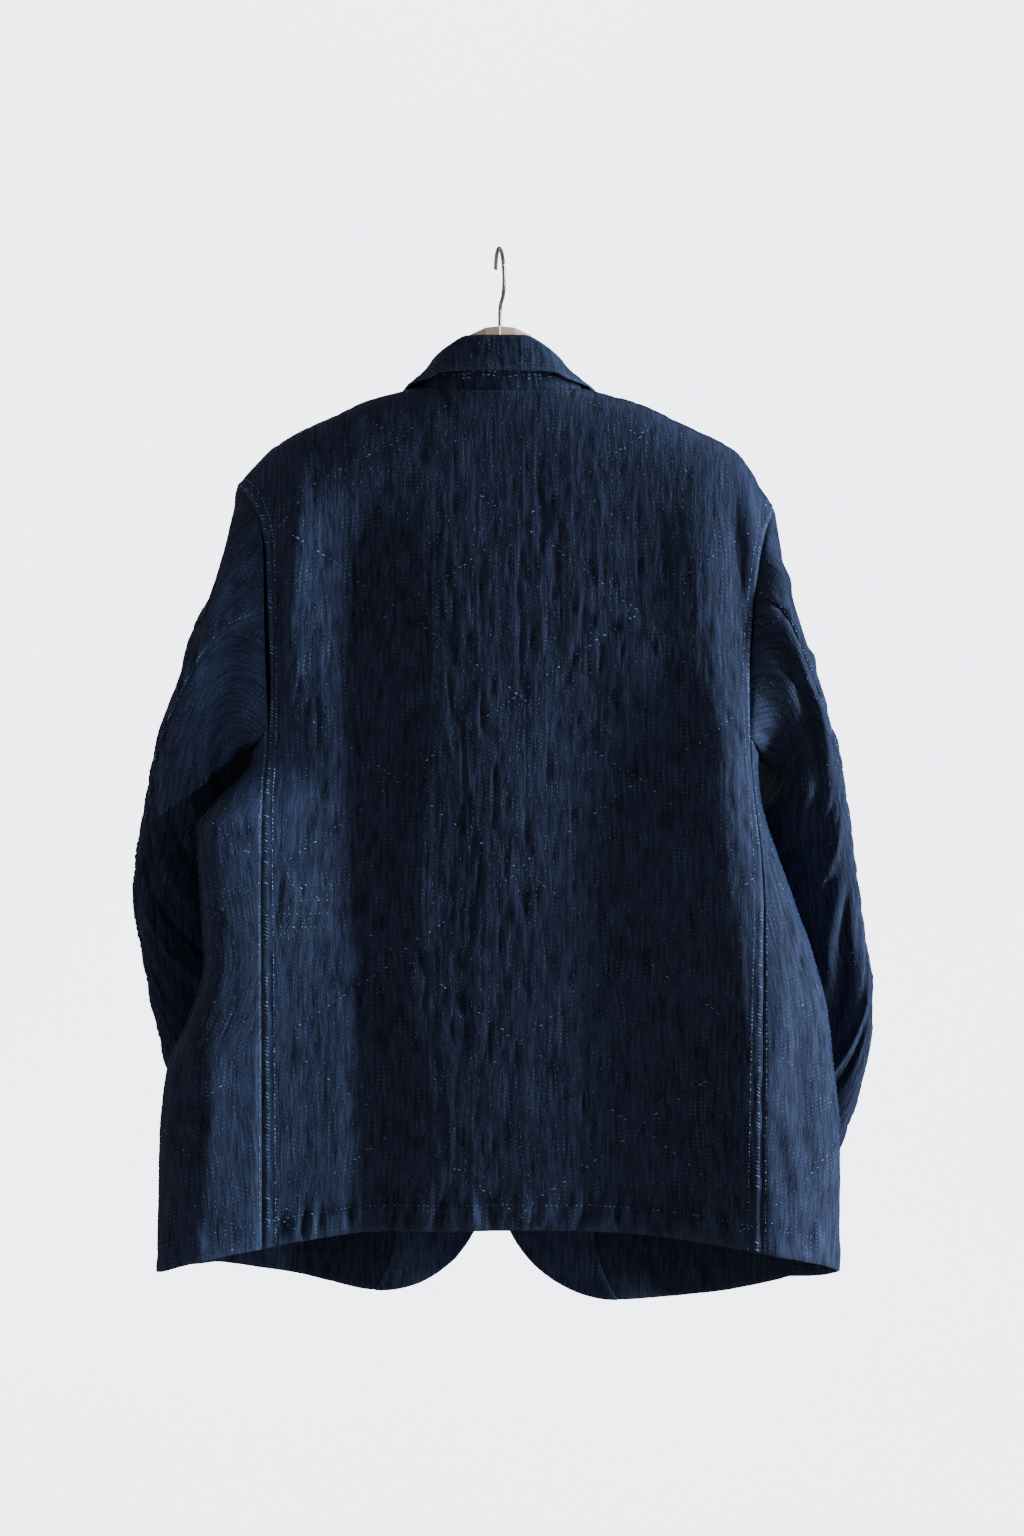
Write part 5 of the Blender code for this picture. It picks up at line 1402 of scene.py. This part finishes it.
HOLE_TURNS = [pi / 4 + k * pi / 2 for k in range(4)]   # where the four holes lie round a button
HOLE_RADIUS, HOLE_REACH = 0.95, 2.1                    # their size, and how far from its middle


def make_button():
    """One four-hole button with a raised rim, lying flat at the origin."""
    made = add_cylinder("button", BUTTON_RADIUS * MM, BUTTON_THICKNESS * MM, vertices=48)
    select_faces(made, lambda face: face.normal.z > 0.9)
    for inset, move in ((2.2, -0.9), (0.9, 0.25)):    # the rim's width and depth, then the middle's
        bpy.ops.mesh.inset(thickness=inset * MM)
        bpy.ops.mesh.extrude_region_move(TRANSFORM_OT_translate={"value": (0, 0, move * MM)})
    bpy.ops.object.mode_set(mode="OBJECT")
    for turn in HOLE_TURNS:
        place = Vector((cos(turn), sin(turn), 0)) * HOLE_REACH * MM
        hole = add_cylinder("hole", HOLE_RADIUS * MM, 8 * MM, place, vertices=16)
        apply_modifier(made, "cut", "BOOLEAN", object=hole, operation="DIFFERENCE", solver="EXACT")
        bpy.data.objects.remove(hole)
    apply_modifier(made, "soft edges", "BEVEL", width=0.35 * MM, segments=3, limit_method="ANGLE")
    bpy.ops.object.shade_smooth_by_angle(angle=radians(40))
    return made


STRAND = 0.3               # radius of the balls that the strands of thread are shaped from


def make_button_thread():
    """Two crossed loops of thread through the button's holes, lying flat at the origin."""
    strands = []
    for layer, turn in enumerate(HOLE_TURNS[:2]):
        for lane in (-0.35, 0.0, 0.35):
            bpy.ops.mesh.primitive_uv_sphere_add(segments=10, ring_count=8, radius=STRAND * MM,
                                                 location=(0, 0, 0))
            strands.append(bpy.context.active_object)
            for vertex in strands[-1].data.vertices:
                x, y, z = vertex.co / (STRAND * MM)
                reach, lift = 2.2 * x, 0.26 * z + 0.3 * (1 - x * x) + 0.16 * layer
                y = 0.26 * y + lane * (1 - 0.35 * abs(x))
                vertex.co = Vector((reach * cos(turn) - y * sin(turn), reach * sin(turn) + y * cos(turn),
                                    BUTTON_THICKNESS / 2 - 0.6 + lift)) * MM
    made = strands[0]
    for strand in strands[1:]:
        select_only(made)
        strand.select_set(True)
        bpy.ops.object.join()
    made.name = made.data.name = "button_thread"
    return made


def place_copy(model, name, matrix):
    """A copy of a piece with its own mesh, whose place is in its mesh."""
    made = model.copy()
    made.data = model.data.copy()
    made.name = made.data.name = name
    bpy.context.scene.collection.objects.link(made)
    made.data.transform(matrix)
    made.data.update()
    return made


def make_buttons(horn, thread):
    model, crossed = make_button(), make_button_thread()
    for number, z in enumerate(BUTTON_LEVELS, start=1):
        normal = Vector(out_of_body(FRONT, BUTTON_X, z, 1.0))
        turn = Vector((0, 0, 1)).rotation_difference(normal).to_matrix().to_4x4()
        point = Vector(on_body(FRONT, BUTTON_X, z)) + normal * (BUTTON_THICKNESS / 2 + BUTTON_GAP)
        turn.translation = point * MM
        button = place_copy(model, f"button_{number}_horn", turn)
        button.data.materials.append(horn)
        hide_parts(f"button_{number}")
        strands = place_copy(crossed, f"button_{number}_thread", turn)
        strands.data.materials.append(thread)
        for piece in (button, strands):
            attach(piece, "root")
    bpy.data.objects.remove(model)
    bpy.data.objects.remove(crossed)


# The stage, in metres.
CAMERA_PLACE = (-0.0102, 2.176, -0.4397)
CAMERA_LENS = 60.0
WALL_RADIUS, WALL_HEIGHT, WALL_MIDDLE = 4.8, 7.0, (0, 0, 1.6)


def make_camera():
    bpy.ops.object.camera_add(location=CAMERA_PLACE, rotation=(pi / 2, 0, pi))
    camera = bpy.context.active_object
    camera.data.lens, camera.data.sensor_width = CAMERA_LENS, 36.0
    bpy.context.scene.camera = camera


JACKET_MIDDLE = (0.0, 0.0, -0.45)
WARM_WHITE = (1.0, 0.985, 0.97)


def add_light(name, place, power, colour=(1, 1, 1), kind="AREA", aim=JACKET_MIDDLE, **settings):
    bpy.ops.object.light_add(type=kind, location=place)
    light = bpy.context.active_object
    light.name = name
    light.data.energy, light.data.color = power, colour
    for key, value in settings.items():
        setattr(light.data, key, value)
    way = Vector(aim) - Vector(place)
    light.rotation_euler = way.to_track_quat("-Z", "Y").to_euler()
    return light


def make_studio(settings):
    """A pale floor that curves up into a round wall, and soft lights."""
    wall = add_cylinder("studio_floor_and_wall", WALL_RADIUS, WALL_HEIGHT, WALL_MIDDLE, vertices=96)
    select_faces(wall, lambda face: face.normal.z > 0.9)
    bpy.ops.mesh.delete(type="FACE")
    bpy.ops.mesh.select_all(action="DESELECT")
    bpy.ops.object.mode_set(mode="OBJECT")
    for edge in wall.data.edges:
        edge.select = all(wall.data.vertices[v].co.z < 0.1 - WALL_HEIGHT / 2 for v in edge.vertices)
    bpy.ops.object.mode_set(mode="EDIT")
    bpy.ops.mesh.select_mode(type="EDGE")
    bpy.ops.mesh.bevel(offset=1.9, segments=14, profile=0.5, affect="EDGES")
    bpy.ops.object.mode_set(mode="OBJECT")
    bpy.ops.object.shade_smooth()
    studio_material(settings.wall_brightness, settings.wall_bounce)
    wall.data.materials.append(MATERIALS["studio_wall"])
    add_light("window", (-3.6, 0.32, -0.05), settings.window_power, WARM_WHITE,
              shape="RECTANGLE", size=0.45, size_y=2.4)
    add_light("overhead", (0.6, 0.8, 1.9), settings.overhead_power, (0.96, 0.98, 1.0),
              shape="RECTANGLE", size=1.6, size_y=1.6)
    # A narrow soft beam, upright in shape, onto the outer back of the left sleeve.
    beam = add_light("sleeve_beam", (-1.7, 2.2, -0.3), settings.sleeve_power, WARM_WHITE, "SPOT",
                     (0.275, 0.0, -0.38), shadow_soft_size=0.05, spot_size=radians(8.0), spot_blend=1.0)
    beam.scale = (0.2, 1.0, 1.0)
    add_light("front_fill", (0.9, -2.6, 0.5), settings.front_power, shape="RECTANGLE", size=1.8,
              size_y=1.8)
    world = bpy.data.worlds.new("studio_air")
    world.use_nodes = True
    bpy.context.scene.world = world
    background = world.node_tree.nodes["Background"]
    background.inputs["Color"].default_value = (0.9, 0.94, 1.0, 1)
    background.inputs["Strength"].default_value = settings.air_brightness


# ------------------------ settings, operators and panel

def colour_setting(name, description, default):
    return FloatVectorProperty(name=name, description=description, subtype="COLOR", size=3,
                               min=0.0, max=1.0, default=default)


def number_setting(name, description, default, **more):
    return FloatProperty(name=name, description=description, default=default, min=0.0, **more)


class JacketClothSettings(bpy.types.PropertyGroup):
    """Colours and surface of the jacket's cloth and thread."""
    # Deep and washed indigo are the ends of a mix that holds painted shade between the ridges and a
    # painted highlight on them, as well as the cloth's washed-out patches.
    deep: colour_setting("Deep indigo", "Colour between the quilting's ridges", (0.0045, 0.0088, 0.026))
    lit: colour_setting("Washed indigo", "Colour on top of the ridges", (0.019, 0.038, 0.102))
    worn: colour_setting("Worn indigo", "Colour along seams and edges", (0.045, 0.08, 0.16))
    thread_dark: colour_setting("Dark thread", "Darkest colour of the stitches", (0.022, 0.045, 0.11))
    thread_light: colour_setting("Light thread", "Lightest colour of the stitches", (0.17, 0.33, 0.68))
    weave_depth: number_setting("Weave depth", "How deep the weave looks", 0.45, max=1.0)


class JacketHangerSettings(bpy.types.PropertyGroup):
    """Colours of the hanger, its hook and the buttons."""
    wood: colour_setting("Wood", "Pale colour of the hanger's wood", (0.66, 0.58, 0.52))
    grain: colour_setting("Grain", "Colour of the wood's grain", (0.46, 0.37, 0.31))
    steel: colour_setting("Steel", "Colour of the hook", (0.3, 0.32, 0.37))
    horn: colour_setting("Horn", "Dark colour of the buttons", (0.012, 0.011, 0.013))
    horn_cloud: colour_setting("Horn clouds", "Paler clouds in the buttons", (0.07, 0.05, 0.04))


class JacketStudioSettings(bpy.types.PropertyGroup):
    """Light and background."""
    window_power: number_setting("Window", "Power of the large side light", 405.0, unit="POWER")
    sleeve_power: number_setting("Sleeve beam", "Power of the narrow light on the left sleeve", 270.0,
                                 unit="POWER")
    overhead_power: number_setting("Overhead", "Power of the soft light above", 3.0, unit="POWER")
    front_power: number_setting("Front fill", "Power of the light on the fronts", 50.0, unit="POWER")
    wall_brightness: number_setting("Wall brightness", "How bright the wall looks", 5.3, max=10.0)
    wall_bounce: number_setting("Wall bounce", "How much light the wall throws back", 0.5, max=1.0)
    air_brightness: number_setting("Air", "Strength of the light from all round", 0.17)


def finish_of(name):
    """A finish, made from the settings when it is first wanted."""
    if name not in MATERIALS:
        cloth, hanger = bpy.context.scene.jacket_cloth, bpy.context.scene.jacket_hanger
        # Painted light: the facing's colours are half again brighter than the cloth's, to light up its
        # shaded place low inside the fronts.
        brightened_for_shade = [[1.5 * c for c in colour] for colour in (cloth.deep, cloth.lit, cloth.worn)]
        # Painted light: the right arm of the hanger gets the wood's colours a third again paler, for its
        # side that faces the light.
        lit_side_colours = [[1.35 * c for c in colour] for colour in (hanger.wood, hanger.grain)]
        makers = {
            "indigo_cloth": (cloth_material, name, cloth.deep, cloth.lit, cloth.worn, cloth.weave_depth),
            "facing_cloth": (cloth_material, name, *brightened_for_shade, cloth.weave_depth * 0.6),
            "thread": (thread_material, cloth.thread_dark, cloth.thread_light),
            "pale_wood": (wood_material, name, hanger.wood, hanger.grain),
            "bleached_wood": (wood_material, name, *lit_side_colours),
            "hook_steel": (steel_material, hanger.steel),
            "dark_horn": (horn_material, hanger.horn, hanger.horn_cloud),
        }
        maker, *colours = makers[name]
        maker(*colours)
    return MATERIALS[name]


class JacketOperator(bpy.types.Operator):
    """Shared part of the operators that make pieces."""
    bl_options = {"REGISTER", "UNDO"}

    def execute(self, context):
        finish_of("thread")
        self.make(context)
        return {"FINISHED"}


class JACKET_OT_stage(JacketOperator):
    """Make the camera, the pale floor and wall, and the soft lights"""
    bl_idname = "jacket.stage"
    bl_label = "Studio"

    def make(self, context):
        make_camera()
        make_studio(context.scene.jacket_studio)


class JACKET_OT_back(JacketOperator):
    """Make the jacket's quilted back with its diamonds, seams and hem"""
    bl_idname = "jacket.back"
    bl_label = "Back"

    def make(self, context):
        make_back(finish_of("indigo_cloth"))


class JACKET_OT_sides(JacketOperator):
    """Make the two panels under the arms"""
    bl_idname = "jacket.sides"
    bl_label = "Side panels"

    def make(self, context):
        for side in SIDE_NAMES:
            make_side_body(side, finish_of("indigo_cloth"))


class JACKET_OT_fronts(JacketOperator):
    """Make the fronts, their facings and the turned-back lapels"""
    bl_idname = "jacket.fronts"
    bl_label = "Fronts"

    def make(self, context):
        for side in SIDE_NAMES:
            make_front(side, finish_of("indigo_cloth"))
            make_facing(side, finish_of("facing_cloth"))
            make_lapel(side, finish_of("indigo_cloth"))


class JACKET_OT_collar(JacketOperator):
    """Make the folded collar"""
    bl_idname = "jacket.collar"
    bl_label = "Collar"

    def make(self, context):
        make_collar(finish_of("indigo_cloth"))


class JACKET_OT_sleeves(JacketOperator):
    """Make the top and under pieces of both sleeves"""
    bl_idname = "jacket.sleeves"
    bl_label = "Sleeves"

    def make(self, context):
        for side in SIDE_NAMES:
            for part in ("top", "under"):
                make_sleeve_piece(side, part, finish_of("indigo_cloth"))


class JACKET_OT_buttons(JacketOperator):
    """Make the buttons and the thread that holds them"""
    bl_idname = "jacket.buttons"
    bl_label = "Buttons"

    def make(self, context):
        make_buttons(finish_of("dark_horn"), finish_of("thread"))


class JACKET_OT_hanger(JacketOperator):
    """Give the hanger its wood and the hook its steel"""
    bl_idname = "jacket.hanger"
    bl_label = "Hanger and hook"

    def make(self, context):
        # The right arm's wood is painted lighter: painted light on the side that faces the lamp.
        for node, name in (("hanger_arm_left", "pale_wood"), ("hanger_arm_right", "bleached_wood"),
                           ("hook", "hook_steel")):
            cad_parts[node].material_slots[0].material = finish_of(name)


STEPS = (JACKET_OT_stage, JACKET_OT_back, JACKET_OT_sides, JACKET_OT_fronts, JACKET_OT_collar,
         JACKET_OT_sleeves, JACKET_OT_buttons, JACKET_OT_hanger)


class JACKET_PT_panel(bpy.types.Panel):
    """Settings and steps of the jacket"""
    bl_idname = "JACKET_PT_panel"
    bl_label = "Quilted jacket"
    bl_space_type = "VIEW_3D"
    bl_region_type = "UI"
    bl_category = "Jacket"

    def draw(self, context):
        for group_name in GROUPS:
            holder, box = getattr(context.scene, group_name), self.layout.box()
            for key in holder.__annotations__:
                box.prop(holder, key)
        for step in STEPS:
            self.layout.operator(step.bl_idname)


GROUPS = {"jacket_cloth": JacketClothSettings, "jacket_hanger": JacketHangerSettings,
          "jacket_studio": JacketStudioSettings}


def register():
    for made in (*GROUPS.values(), *STEPS, JACKET_PT_panel):
        bpy.utils.register_class(made)
    for key, made in GROUPS.items():
        setattr(bpy.types.Scene, key, PointerProperty(type=made))


def unregister():
    for key in GROUPS:
        delattr(bpy.types.Scene, key)
    for made in (JACKET_PT_panel, *reversed(STEPS), *GROUPS.values()):
        bpy.utils.unregister_class(made)


def main():
    register()
    for step in STEPS:
        group_name, action = step.bl_idname.split(".")
        getattr(getattr(bpy.ops, group_name), action)()


if __name__ == "__main__":
    main()
